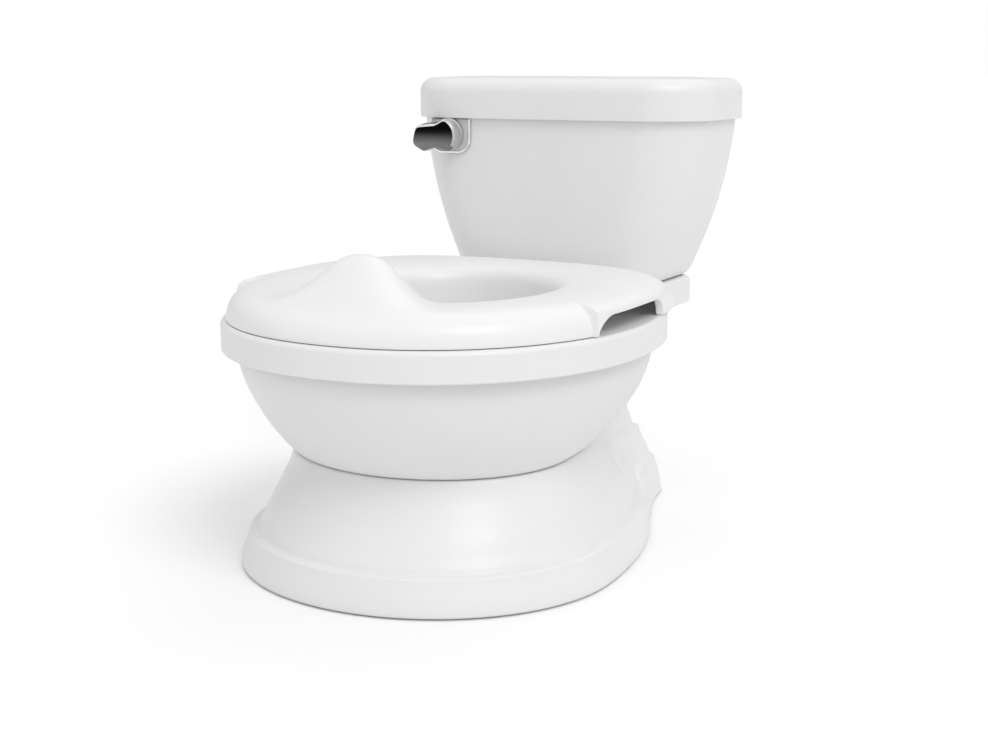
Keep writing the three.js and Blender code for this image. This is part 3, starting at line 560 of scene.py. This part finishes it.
def panel_rise(y, z, front, top, fall, reach, drop):
    """0 outside a panel's side outline and 1 inside, with a hollow foot and a raised rim between."""
    slope = fall * np.maximum(y - front - reach, 0) / (COLUMN_REAR + 10 - front - reach)
    ahead = np.maximum(front + reach - y, 0) / reach
    above = np.maximum(z - top + slope + drop, 0) / drop
    depth = (1 - np.hypot(ahead, above)) * drop
    rim = 0.26 * np.exp(-(((depth - 1.1) / 0.8) ** 2))
    hollow = 0.2 * np.exp(-(((depth + 1.8) / 1.1) ** 2))
    return smooth_step(depth, -1.1, 0.7) + rim - hollow


def column_outline(x, y, z, inset):
    """The column with the trapway panels on its sides."""
    (half,) = at_height(COLUMN_LEVELS, z)
    panels = sum(height * panel_rise(y, z, *rest) for height, *rest in PANELS)
    widen = COLUMN_TAPER * (COLUMN_REAR - y) + panels
    radii = COLUMN_FRONT_RADIUS, COLUMN_REAR_RADIUS
    return rounded_box(x, y, half + widen - inset, COLUMN_FRONT, COLUMN_REAR - inset, *radii)


def foot_outline(x, y, z, inset):
    half, front, rear = at_height(FOOT_LEVELS, z)
    return oval(x, y, half - inset, front + inset, rear - inset, FOOT_CENTRE)


def pedestal_outline(x, y, z, inset):
    """The foot and the column, with a fillet between them that is wider lower down."""
    fillet = PEDESTAL_FILLET + 16 * smooth_step(-z, -60, -10)
    return smooth_union(foot_outline(x, y, z, inset), column_outline(x, y, z, inset), fillet)


def pedestal_lip_outline(x, y, z, inset):
    """The rounded edge under the bowl, which leaves the column as it is."""
    return smooth_union(foot_outline(x, y, z, inset), column_outline(x, y, z, 0), PEDESTAL_FILLET)


def upper_column_outline(x, y, z, inset):
    """The column behind the bowl."""
    behind = -bowl_outline(x, y, z, INTO_BOWL - inset)
    return np.maximum(column_outline(x, y, z, inset), behind)


def panel_detail(x, y):
    """How much closer together the rays are where the trapway panels lie."""
    return 1 + 5 * smooth_step(y, 45, 60) * smooth_step(np.abs(x), 40, 50)


def pedestal_heights():
    """Heights of the foot's rows: close together at the floor band's upper edge and over the panels."""
    floor_edge = [FOOT_BOTTOM, FOOT_BOTTOM + 0.4, FOOT_BOTTOM + 1, FOOT_BOTTOM + 2]
    band = np.arange(4.5, 22.6, 1.1)
    band_edge = [22.6, 23.4, 23.7, 23.85, 24, 24.3, 24.7, 25]
    band_corner = [25.08, 25.15, 25.2, 25.25, 25.35, 25.6, 26, 26.4]
    panels = np.arange(27, 58, 0.65)
    flare = np.linspace(58.5, FOOT_TOP - 1.2, 10)
    return np.concatenate([floor_edge, band, band_edge, band_corner, panels, flare])


def make_pedestal():
    centre = 125.0
    angles = spaced_angles(lambda x, y: pedestal_outline(x, y, 20.0, 0), centre, 600, panel_detail)
    top = pedestal_high[2]
    lip = [(0.15, FOOT_TOP - 0.5), (0.6, FOOT_TOP)]
    upper = [(0, z) for z in np.arange(FOOT_TOP + 0.3, FOOT_TOP + 11, 0.5)]
    upper += [(0, z) for z in np.linspace(FOOT_TOP + 13, top - 0.5, 13)] + [(0.5, top)]
    upper_inner = [(WALL, z) for z in np.linspace(top - WALL, FOOT_TOP - WALL + 0.2, 8)]
    lower_inner = [(WALL, z) for z in (FOOT_TOP - WALL, 60, 45, 30, 16, 6, FOOT_BOTTOM)]
    # From the top down the inside, and back up the outside.
    rows = [
        traced_rows(outline, profile, centre, angles)
        for outline, profile in (
            (upper_column_outline, upper_inner),
            (pedestal_outline, lower_inner),
            (pedestal_outline, [(0, z) for z in pedestal_heights()]),
            (pedestal_lip_outline, lip),
            (upper_column_outline, upper),
        )
    ]
    points, faces = shell_mesh(np.concatenate(rows))
    made = piece("pedestal_moulding", points, faces, "root", BODY_WHITE, ["pedestal"])
    crease(made, 40)


# ---------------------------------------------------------------- pot


def make_pot():
    centre = -45.0
    bottom, top = pot_low[2], pot_high[2]
    angles = spaced_angles(lambda x, y: pot_outline(x, y, 0), centre, 224)
    outer = rounded(
        [(36, bottom, 0), (30, bottom, 4), (20, 98, 12), (10, 120, 30), (2, 150, 30), (0, 171, 1),
         (-POT_FLANGE, 171, 0)]
    )
    rim = [(-POT_FLANGE, 171.6), (-POT_FLANGE + 0.4, 172.6), (-POT_FLANGE + 1.4, top)]
    inner = rounded(
        [(0, top, 0), (2.4, top, 1.6), (2.6, 165, 0), (4.4, 150, 30), (12.4, 120.6, 30), (22.4, 98.6, 12),
         (32, 88.8, 6), (40, 88.6, 0)]
    )
    profile = np.concatenate([outer, rim, inner])
    points, faces = shell_mesh(upright_rows(pot_outline, profile, centre, angles))
    made = piece("pot_moulding", points, faces, "pot", BODY_WHITE, ["pot"])
    crease(made, 45)


# ---------------------------------------------------------------- seat topper

topper_low, topper_high = box_mm("seat_topper")
TOPPER_BOTTOM = RING_TOP + 0.5
TOPPER = dict(half=topper_high[0], front=topper_low[1], rear=topper_high[1])
HOLE = dict(half=66.0, front=-128.0, rear=32.0, centre=-45.0)
TOPPER_SKIN = 2.8
GRIP_WALL = 5.0
GUARD_SPREAD = 0.31  # radians either side of the front over which the splash guard fades
GUARD_STEEPNESS = 2.8
GRIP_FRONT, GRIP_STEP = -103.8, 0.25  # where the grip's side wall steps out, and half the step's length
GAP_FRONT, GAP_REAR, GAP_TOP = -103.0, -4.0, 182.0

# Section points from the outer foot over the crest to the bottom of the funnel, as (share, z).
RIM_SECTION = np.array(
    [(0, 170.5), (0.013, 176), (0.045, 182), (0.115, 187.2), (0.23, 190.2), (0.41, 190.8),
     (0.62, 190.1), (0.78, 188.6), (0.87, 186.6), (0.925, 183), (0.955, 177), (1, 157)]
)
GUARD_SECTION = np.array(
    [(0, 170.5), (0.024, 176), (0.085, 182), (0.21, 189), (0.364, 202), (0.519, 215.5),
     (0.64, 219.5), (0.73, 217.5), (0.8, 212), (0.87, 202), (0.93, 188), (1, 157)]
)
GRIP_SECTION = np.array(
    [(0, 170.5), (0.004, 176), (0.014, 182), (0.04, 186.2), (0.14, 189.4), (0.41, 190.8),
     (0.62, 190.1), (0.78, 188.6), (0.87, 186.6), (0.925, 183), (0.955, 177), (1, 157)]
)


def oval_points(angles, half, front, rear, centre=SEAT_CENTRE, power=2.0, rear_power=None):
    """Points of an oval by its own angle: 0 is +X and the front is -90 degrees."""
    c, s = np.cos(angles), np.sin(angles)
    exponent = 2 / np.where(s < 0, power, rear_power or power)
    reach = np.where(s < 0, centre - front, rear - centre)
    x = np.sign(c) * half * np.abs(c) ** exponent
    y = centre + np.sign(s) * reach * np.abs(s) ** exponent
    return np.stack([x, y], axis=-1)


def gap_bottom(y):
    """How high the bottom edge of the topper's side wall is: it arches up over the finger gap."""
    front_reach, rear_radius = 20.0, 9.0
    rise = GAP_TOP - TOPPER_BOTTOM
    front_share = np.clip((GAP_FRONT + front_reach - y) / front_reach, 0, 1)
    rear_share = np.clip((y - GAP_REAR + rear_radius) / rear_radius, 0, 1)
    arch = rise * (1 - front_share**1.7) ** (1 / 1.7)
    shoulder = np.where(rear_share < 1, rise - rear_radius * (1 - np.sqrt(1 - rear_share**2)), 0)
    return TOPPER_BOTTOM + np.where(y < GAP_REAR, np.minimum(arch, shoulder), 0)


def spline_through(points, per_span=10):
    """A dense Catmull-Rom line through points."""
    ends = np.vstack([2 * points[0] - points[1], points, 2 * points[-1] - points[-2]])
    made = []
    for a, b, c, d in zip(ends[:-3], ends[1:-2], ends[2:-1], ends[3:]):
        square, cube = 2 * a - 5 * b + 4 * c - d, 3 * b - a - 3 * c + d
        for t in np.arange(per_span) / per_span:
            made.append(0.5 * (2 * b + (c - a) * t + square * t**2 + cube * t**3))
    made.append(points[-1])
    return np.array(made)


def topper_section(angle, samples=46):
    """The closed section of the topper at one angle, as points in three dimensions."""
    outer = oval_points(np.array([angle]), **TOPPER, power=RING_POWER, rear_power=3.4)[0]
    inner = oval_points(np.array([angle]), **HOLE)[0]
    side = oval_points(np.array([angle]), **TOPPER, power=4.0, rear_power=3.4)[0]
    starts = smooth_step(outer[1], GRIP_FRONT - GRIP_STEP, GRIP_FRONT + GRIP_STEP)
    grip = float(starts * smooth_step(-outer[1], -34, 4))
    outer[0] += (side[0] - outer[0]) * grip
    from_front = abs(math.atan2(math.cos(angle), -math.sin(angle)))
    guard = math.exp(-((from_front / GUARD_SPREAD) ** GUARD_STEEPNESS))
    section = RIM_SECTION * (1 - grip) + GRIP_SECTION * grip
    section = section * (1 - guard) + GUARD_SECTION * guard
    length = np.linalg.norm(inner - outer)
    line = spline_through(section * [length, 1])
    bottom = float(gap_bottom(outer[1]))
    travelled = np.concatenate([[0], np.cumsum(np.linalg.norm(np.diff(line, axis=0), axis=1))])
    crest = int(np.argmax(line[:, 1]))
    start = np.interp(bottom + 0.7, line[: crest + 1, 1], travelled[: crest + 1])
    along = start + (travelled[-1] - 0.7 - start) * np.linspace(0, 1, samples) ** 1.15
    top = np.stack([np.interp(along, travelled, line[:, k]) for k in (0, 1)], axis=-1)
    tangent = np.gradient(top, axis=0)
    tangent /= np.linalg.norm(tangent, axis=1)[:, None]
    wall = TOPPER_SKIN + (GRIP_WALL - TOPPER_SKIN) * grip * smooth_step(-top[:, 1], -186, -182)
    under = top + np.stack([tangent[:, 1], -tangent[:, 0]], axis=-1) * wall[:, None]
    foot_u, lip = top[0, 0], under[0, 0]
    raised = bottom + 0.2
    foot = [(foot_u + 0.2, raised), (foot_u + 0.7, bottom), (lip - 0.7, bottom), (lip - 0.2, raised)]
    under[0] = (lip, bottom + 0.7)
    mouth_top, mouth_under = top[-1], under[-1]
    mouth_middle = (mouth_top + mouth_under) / 2
    mouth = [mouth_top + [-0.2, -0.5], mouth_middle + [0, -0.7], mouth_under + [0.2, -0.5]]
    loop = np.vstack([top, mouth, under[::-1], foot[::-1]])
    inwards = (inner - outer) / length
    flat = outer + loop[:, :1] * inwards
    return np.column_stack([flat, loop[:, 1]])


def topper_angles(count):
    """Section angles, closest where the grips begin and where the finger gaps end."""
    dense = np.linspace(-math.pi / 2, 1.5 * math.pi, 40001)
    points = oval_points(dense, **TOPPER, power=RING_POWER, rear_power=3.4)
    length = np.linalg.norm(np.diff(points, axis=0), axis=1)
    y = points[:-1, 1]

    def near(place, width):
        return np.exp(-(((y - place) / width) ** 2))

    density = 1 + 14 * near(GRIP_FRONT, 0.6) + 3 * near(GAP_FRONT + 4, 5) + 5 * near(GAP_REAR - 2, 3)
    travelled = np.concatenate([[0], np.cumsum(length * density)])
    return np.interp(np.arange(count) / count * travelled[-1], travelled, dense)


def make_seat_topper():
    sections = np.array([topper_section(angle) for angle in topper_angles(400)])
    rows = sections.transpose(1, 0, 2)
    points, faces = shell_mesh(rows, loop=True)
    made = piece(
        "seat_topper_moulding", points, faces, "seat_topper", SEAT_WHITE, ["seat_topper"]
    )
    crease(made, 40)


# ---------------------------------------------------------------- tank

tank_low, tank_high = box_mm("tank_body")
TANK_BOTTOM, TANK_TOP = tank_low[2], tank_high[2]
TANK_FRONT, TANK_REAR = 92.0, tank_high[1]
FRONT_RADIUS, REAR_RADIUS, BOW = 43.0, 17.0, 8.0
# Height and half width.
TANK_LEVELS = np.array(
    [(TANK_BOTTOM, 79), (171.4, 81.5), (174, 84), (178, 86.6), (190, 92), (210, 100.2),
     (230, 107), (250, 112.3), (270, 116.3), (290, 119), (TANK_TOP, 119.6)]
)
PAD_FACE = 96.5  # the flat pad behind the escutcheon


def tank_outline(x, y, z, inset):
    (half,) = at_height(TANK_LEVELS, z)
    radii = FRONT_RADIUS - inset, REAR_RADIUS - inset
    return rounded_box(x, y, half - inset, TANK_FRONT + inset, TANK_REAR - inset, *radii, BOW)


def escutcheon_outline(grow, count=64):
    """Points (x, z) round the escutcheon, flat under the lid and round below."""
    half, top, bottom, radius = 17.6 + grow, 11.5, -14.5 - grow, 11 + grow
    arc = np.linspace(0, math.pi / 2, count // 2)
    right = [(half - radius + radius * math.sin(a), bottom + radius - radius * math.cos(a)) for a in arc]
    left = [(-x, z) for x, z in right[::-1]]
    return np.array([(LEVER_X + x, LEVER_Z + z) for x, z in right + [(half, top), (-half, top)] + left])


def plate_mesh(outlines, depths):
    """A closed plate from rows of (x, z) outlines at depths along y, from the front to the back."""
    rows = [np.column_stack([o[:, 0], np.full(len(o), y), o[:, 1]]) for o, y in zip(outlines, depths)]
    points, faces = shell_mesh(rows)
    return points, [face[::-1] for face in faces]


def disc_mesh(radii, depths, count=48):
    """A closed turned piece round the lever's axis, as radii at depths along y from front to back."""
    turns = np.linspace(0, 2 * math.pi, count, endpoint=False)
    outline = np.column_stack([np.cos(turns), np.sin(turns)])
    return plate_mesh([[LEVER_X, LEVER_Z] + outline * r for r in radii], depths)


def make_tank():
    centre = 150.0
    angles = spaced_angles(lambda x, y: tank_outline(x, y, 250.0, 0), centre, 300)
    levels = np.concatenate([np.linspace(TANK_BOTTOM, 178, 9), np.linspace(181, TANK_TOP - 0.6, 36)])
    outer = [(0, z) for z in levels] + [(0.6, TANK_TOP)]
    inner_levels = np.linspace(TANK_TOP - 0.6, TANK_BOTTOM + WALL + 1.5, 14)
    inner = [(WALL - 0.6, TANK_TOP)] + [(WALL, z) for z in inner_levels]
    inner += [(WALL + 1.5, TANK_BOTTOM + WALL)]
    points, faces = shell_mesh(traced_rows(tank_outline, outer + inner, centre, angles))
    made = piece("tank_moulding", points, faces, "root", BODY_WHITE, ["tank_body"])
    pad = [escutcheon_outline(g) for g in (0.7, 1.2, 1.2)]
    cut_or_join(made, "UNION", *plate_mesh(pad, [PAD_FACE, PAD_FACE + 0.5, PAD_FACE + 5]))
    cut_or_join(made, "DIFFERENCE", *disc_mesh([4.4, 4.4], [80, 112]))
    door_low, door_high = box_mm("battery_door")
    cut_or_join(made, "DIFFERENCE", *box_mesh(door_low - [0.4, 1.5, 0.4], door_high + [0.4, 3, 0.4]))
    crease(made, 34)


# ---------------------------------------------------------------- lid

lid_low, lid_high = box_mm("tank_lid")
LID_BOTTOM, LID_TOP = 293.2, lid_high[2]
LID_HALF, LID_FRONT, LID_REAR = lid_high[0], lid_low[1], lid_high[1]
LID_WALL = 2.6
LID_FRONT_RADIUS, LID_REAR_RADIUS = 46, 19
LIP_INSET, LIP_WALL = 8.1, 2.0


def lid_outline(x, y, inset):
    radii = np.maximum(LID_FRONT_RADIUS - inset, 6), np.maximum(LID_REAR_RADIUS - inset, 3)
    return rounded_box(x, y, LID_HALF - inset, LID_FRONT + inset, LID_REAR - inset, *radii, BOW)


def make_tank_lid():
    centre = 150.0
    angles = spaced_angles(lambda x, y: lid_outline(x, y, 0.0), centre, 300)
    under = LID_TOP - 3.0
    lip_inside = LIP_INSET + LIP_WALL
    inside = rounded(
        [(34, under, 0), (lip_inside, under, 0), (lip_inside, lid_low[2], 0.6),
         (LIP_INSET, lid_low[2], 0.6), (LIP_INSET, under, 0.8), (LID_WALL, under - 4, 3.5),
         (LID_WALL, LID_BOTTOM, 0.5)],
        3,
    )
    outside = rounded(
        [(LID_WALL - 0.8, LID_BOTTOM, 0), (0, LID_BOTTOM, 0.7), (0, 323.2, 11), (34, LID_TOP, 0)], 12
    )
    profile = np.concatenate([inside, outside])
    points, faces = shell_mesh(upright_rows(lid_outline, profile, centre, angles))
    made = piece("tank_lid_moulding", points, faces, "tank_lid", BODY_WHITE, ["tank_lid"])
    crease(made, 40)


# ---------------------------------------------------------------- flush lever

LEVER_FACE = 78.0  # the y of the lever's front
# Corners of the lever's front outline from its axis, as (x, z), from the waist's top leftwards and round.
LEVER_POINTS = np.array(
    [(-6.2, 8), (-13, 7.4), (-19.8, 6.6), (-23, 4.6), (-24.6, 0), (-25.5, -4.6), (-24.6, -8.2),
     (-21, -10.8), (-17, -12.8), (-12.5, -11.4), (-7.5, -10.2), (-3, -10.6), (1.5, -12.2), (5.6, -12.2),
     (8.8, -9.8), (11, -5.5), (11.8, -1), (11.2, 3.6), (9.2, 7.4), (6.2, 10.2), (3, 11.6), (0.4, 11.2),
     (-2.6, 9.6)]
)
# Rings from the back edge over the rim to the edge of the face, as (inset, depth).
LEVER_EDGE = [(2, 10.2), (0.8, 10.2), (0.2, 9.6), (0, 8.8), (0, 2.2), (0.05, 1.9)]
LEVER_RIM = [(0.2, 1.6), (1.3, 0.1), (1.42, 0)]
LEVER_FACE_EDGE = [(1.54, 0.1), (1.7, 0.5), (1.9, 0.6)]
LEVER_MIDDLE = np.array([-5.0, -1.0])


def moved_in(outline, distance):
    """A closed anticlockwise outline moved inwards."""
    along = np.roll(outline, -1, axis=0) - np.roll(outline, 1, axis=0)
    outward = np.column_stack([along[:, 1], -along[:, 0]]) / np.linalg.norm(along, axis=1)[:, None]
    return outline - outward * distance


def lever_ring(outline, depth):
    """Points of one ring. The face's lower part is a facet that slopes back, and the arm's top rises."""
    x, z = outline[:, 0], outline[:, 1]
    facet = 0.34 * np.maximum(-6.5 - z + 0.12 * x, 0)
    rise = 0.16 * depth * smooth_step(z, 2, 6) * smooth_step(-x, 3, 9)
    return np.column_stack([LEVER_X + x, LEVER_FACE + depth + facet, LEVER_Z + z + rise])


def lever_finish(polygon, rim_start, face_start):
    """Which of the lever's materials a face has: 1 the face with its painted reflection, 2 painted dark
    shade, 3 a painted highlight or 4 satin.
    """
    painted_reflection, painted_dark_top, painted_highlight, satin = 1, 2, 3, 4
    x = polygon.center.x / MM - LEVER_X
    upward = polygon.normal.z
    first = min(polygon.vertices)
    if first >= face_start:
        return painted_reflection
    if first < rim_start:
        # the arm's upward sides left of the axis take the painted dark shade, the rest satin
        return painted_dark_top if upward > 0.2 and x < 0 else satin
    # the rim's upward top takes the painted highlight; the hub's right takes satin and the rest the painted
    # reflection
    if upward > 0.2 and -23 < x < 3:
        return painted_highlight
    return satin if x > 0 and upward > -0.6 else painted_reflection


def make_lever_handle():
    """A dished face with a painted reflection inside a raised rim with a painted highlight along its top,
    and painted dark shade on the arm's upward sides.
    """
    line = spline_through(np.vstack([LEVER_POINTS, LEVER_POINTS[:1]]), 6)[:-1]
    steps = LEVER_EDGE + LEVER_RIM + LEVER_FACE_EDGE
    rows = [lever_ring(moved_in(line, inset), depth) for inset, depth in steps]
    face_inset, face_depth = LEVER_FACE_EDGE[-1]
    from_middle = moved_in(line, face_inset) - LEVER_MIDDLE
    for scale in (0.9, 0.75, 0.55, 0.35, 0.15):
        rows.append(lever_ring(LEVER_MIDDLE + from_middle * scale, face_depth))
    points, faces = shell_mesh(rows)
    made = piece(
        "flush_lever_handle", points, faces, "flush_handle", CHROME, ["flush_lever"]
    )
    # near-black metal that paints shade on the arm's upward sides
    painted_dark_top = plated_metal("lever_painted_dark_top", grey(0.02), grey(0.09), 0.25)
    for material in (painted_reflection_face("lever_face"), painted_dark_top, PAINTED_HIGHLIGHT_EDGE, SATIN_CHROME):
        made.data.materials.append(material)
    rim_start = (len(LEVER_EDGE) - 1) * len(line)
    face_start = (len(LEVER_EDGE) + len(LEVER_RIM) - 1) * len(line)
    for polygon in made.data.polygons:
        polygon.material_index = lever_finish(polygon, rim_start, face_start)
    crease(made, 50)


def make_flush_lever():
    """The handle and the collar behind it, which turn together."""
    make_lever_handle()
    collar_low, collar_high = box_mm("lever_collar")
    front, back = collar_low[1], collar_high[1]
    radii = [9.4, 11.2, 11.8, 12.1, 12.2, 12.2, 12.0, 10.6, 10.4]
    depths = [front, front, front + 0.15, front + 0.5, front + 1]
    depths += [back - 1.8, back - 1.5, back - 1.4, back]
    points, faces = disc_mesh(radii, depths, 96)
    made = piece(
        "lever_collar_ring", points, faces, "flush_handle", SATIN_CHROME, ["lever_collar"]
    )
    crease(made, 50)


# The escutcheon's rings from the middle of its front to its back, as (grow, depth).
PLATE_FACE = [(-4, 0.5), (-2.4, 0.5), (-1.9, 0.4)]
PLATE_BEVEL = [(-1.6, 0.1), (-1.2, 0), (-0.9, 0), (-0.1, 0.4), (0, 0.6)]
PLATE_BACK = [(0, 0.9), (-0.8, 0.9), (-0.8, 3.9)]
PLATE_DEPTH = 4.2


def make_escutcheon():
    """A plate with a painted highlight on its bevel, which stands off the tank on a narrower foot, with a
    painted shadow in black under its edge.
    """
    steps = PLATE_FACE + PLATE_BEVEL + PLATE_BACK
    outlines = [escutcheon_outline(grow, 80) for grow, _ in steps]
    points, faces = plate_mesh(outlines, [PAD_FACE - PLATE_DEPTH + depth for _, depth in steps])
    made = piece(
        "lever_escutcheon_plate", points, faces, "root", LIGHT_GREY, ["lever_escutcheon"]
    )
    made.data.materials.append(PAINTED_HIGHLIGHT_EDGE)
    made.data.materials.append(DARK_PLASTIC_AND_PAINTED_SHADOW)
    # the bevel takes the painted highlight and the undercut the painted shadow in black
    bevel, shadow_gap = 1, 2
    bevel_start = len(PLATE_FACE) * len(outlines[0])
    gap_start = bevel_start + len(PLATE_BEVEL) * len(outlines[0])
    for polygon in made.data.polygons:
        if min(polygon.vertices) >= gap_start:
            polygon.material_index = shadow_gap
        elif min(polygon.vertices) >= bevel_start:
            polygon.material_index = bevel
    crease(made, 40)


# ---------------------------------------------------------------- wipes tray

tray_low, tray_high = box_mm("wipes_tray")
# Height and the x of the right wall.
TRAY_LEVELS = np.array(
    [(tray_low[2], 80), (tray_low[2] + 2, 82), (240, 96), (tray_high[2], tray_high[0])]
)
TRAY_FRONT_RADIUS, TRAY_REAR_RADIUS = 35, 12


def tray_outline(x, y, z, inset):
    (right,) = at_height(TRAY_LEVELS, z)
    middle, half = (right + tray_low[0]) / 2, (right - tray_low[0]) / 2
    front, rear = tray_low[1] + 1 + inset, tray_high[1] - inset
    radii = TRAY_FRONT_RADIUS - inset, TRAY_REAR_RADIUS - inset
    return rounded_box(x - middle, y, half - inset, front, rear, *radii)


def make_wipes_tray():
    centre_x, centre_y = (tray_low[:2] + tray_high[:2]) / 2

    def shifted(x, y, z, inset):
        return tray_outline(x + centre_x, y, z, inset)

    angles = spaced_angles(lambda x, y: shifted(x, y, 240.0, 0), centre_y, 160)
    top = tray_high[2]
    outer = [(2.5, tray_low[2]), (1, tray_low[2] + 0.3), (0.2, tray_low[2] + 1.2)]
    outer += [(0, z) for z in np.linspace(tray_low[2] + 3, top - 0.5, 16)] + [(0.4, top)]
    inner = [(1.6, top)] + [(2, z) for z in np.linspace(top - 0.5, tray_low[2] + 5, 12)]
    inner += [(2.6, tray_low[2] + 3), (4.5, tray_low[2] + 2)]
    rows = traced_rows(shifted, outer + inner, centre_y, angles)
    points, faces = shell_mesh(rows + [centre_x, 0, 0])
    made = piece("wipes_tray_moulding", points, faces, "root", BODY_WHITE, ["wipes_tray"])
    crease(made, 45)


# ---------------------------------------------------------------- carried-over CAD nodes


def finish_cad_nodes():
    """Each CAD node gets its slot's material, and smooth shading with its hard edges kept."""
    slots = {row["node"]: row["material_slot"] for row in frame["record"]["subparts"]}
    for name, node in frame["nodes"].items():
        node.data.materials.clear()
        node.data.materials.append(SLOT_MATERIALS[slots[name]])
        node.data.shade_smooth()
        crease(node, 32)


# ---------------------------------------------------------------- stage

SKY_LEVEL = 0.47
SKY_SLOPE = (0.02, -0.02, 0.44)  # how much brighter the sky is towards +x, +y and +z
CAMERA_TARGET = Vector((0, 0.0195, 0.1155))
CAMERA_AZIMUTH, CAMERA_ELEVATION = 27.8, 11.38  # degrees
CAMERA_DISTANCE = 1.1266
CAMERA_LENS, CAMERA_SENSOR = 56.32, 36.0


def floor_material():
    """A pale matt sweep, which throws back less light than it shows, so that undersides stay in shade."""
    made, shader, link, add = material_nodes(
        "studio_floor",
        Roughness=0.9,
        Specular_IOR_Level=0.1,
        Emission_Color=grey(1.0),
        Emission_Strength=0.05,
    )
    place = add("ShaderNodeTexCoord").outputs["Object"]
    cloud = add("ShaderNodeTexNoise", Scale=3.0, Detail=2.0)
    colours = add("ShaderNodeValToRGB")
    set_stops(colours, [(0.0, grey(0.95)), (1.0, grey(0.97))])
    bounce = add("ShaderNodeBsdfDiffuse", Color=grey(0.88))
    path = add("ShaderNodeLightPath")
    mix = add("ShaderNodeMixShader")
    link(place, cloud.inputs["Vector"])
    link(cloud.outputs["Fac"], colours.inputs["Fac"])
    link(colours.outputs["Color"], shader.inputs["Base Color"])
    link(path.outputs["Is Camera Ray"], mix.inputs["Fac"])
    link(bounce.outputs["BSDF"], mix.inputs[1])
    link(shader.outputs["BSDF"], mix.inputs[2])
    link(mix.outputs["Shader"], made.node_tree.nodes["Material Output"].inputs["Surface"])
    return made


def make_floor():
    mesh = bpy.data.meshes.new("studio_floor")
    half = 30.0  # far enough that its edge never shows
    corners = [(-half, -half, 0), (half, -half, 0), (half, half, 0), (-half, half, 0)]
    mesh.from_pydata(corners, [], [(0, 1, 2, 3)])
    mesh.materials.append(floor_material())
    floor = bpy.data.objects.new("studio_floor", mesh)
    bpy.context.scene.collection.objects.link(floor)


def direction(azimuth, elevation):
    """The unit vector towards an azimuth and elevation in degrees."""
    turn, rise = math.radians(azimuth), math.radians(elevation)
    return Vector((math.sin(turn) * math.cos(rise), -math.cos(turn) * math.cos(rise), math.sin(rise)))


def aim(made, place, target):
    made.location = place
    made.rotation_euler = (Vector(target) - Vector(place)).to_track_quat("-Z", "Y").to_euler()


def add_sun(name, azimuth, elevation, strength, spread):
    """A soft distant light. Angles are in degrees: azimuth 0 is the front and 90 the right."""
    light = bpy.data.lights.new(name, "SUN")
    light.energy = strength
    light.angle = math.radians(spread)
    made = bpy.data.objects.new(name, light)
    bpy.context.scene.collection.objects.link(made)
    aim(made, direction(azimuth, elevation), (0, 0, 0))


def make_world():
    """White to the camera, and for light and reflections a sky that changes evenly with direction."""
    world = bpy.data.worlds.new("studio")
    bpy.context.scene.world = world
    world.use_nodes = True
    tree = world.node_tree
    link, add = tree.links.new, node_adder(tree)
    background = tree.nodes["Background"]
    background.inputs["Color"].default_value = grey(1.0)
    seen = add("ShaderNodeBackground", Color=grey(1.0), Strength=1.0)
    place = add("ShaderNodeTexCoord")
    slope = add("ShaderNodeVectorMath", operation="DOT_PRODUCT")
    slope.inputs[1].default_value = SKY_SLOPE
    level = add("ShaderNodeMath", operation="ADD")
    level.inputs[1].default_value = SKY_LEVEL
    path = add("ShaderNodeLightPath")
    mix = add("ShaderNodeMixShader")
    link(place.outputs["Generated"], slope.inputs[0])
    link(slope.outputs["Value"], level.inputs[0])
    link(level.outputs["Value"], background.inputs["Strength"])
    link(path.outputs["Is Camera Ray"], mix.inputs["Fac"])
    link(background.outputs["Background"], mix.inputs[1])
    link(seen.outputs["Background"], mix.inputs[2])
    link(mix.outputs["Shader"], tree.nodes["World Output"].inputs["Surface"])


def make_camera():
    camera = bpy.data.cameras.new("camera")
    camera.sensor_width = CAMERA_SENSOR
    camera.lens = CAMERA_LENS
    made = bpy.data.objects.new("camera", camera)
    bpy.context.scene.collection.objects.link(made)
    place = CAMERA_TARGET + direction(CAMERA_AZIMUTH, CAMERA_ELEVATION) * CAMERA_DISTANCE
    aim(made, place, CAMERA_TARGET)
    bpy.context.scene.camera = made


def make_stage():
    make_camera()
    make_floor()
    make_world()
    add_sun("right_key", 58, 50, 0.9, 30)
    add_sun("back_top", 180, 50, 0.15, 45)
    view = bpy.context.scene.view_settings
    view.view_transform = "Standard"
    view.look = "None"
    view.exposure = 0.0


make_stage()
make_rim_ring()
make_bowl_shell()
make_pedestal()
make_pot()
make_seat_topper()
make_tank()
make_tank_lid()
make_flush_lever()
make_escutcheon()
make_wipes_tray()
finish_cad_nodes()
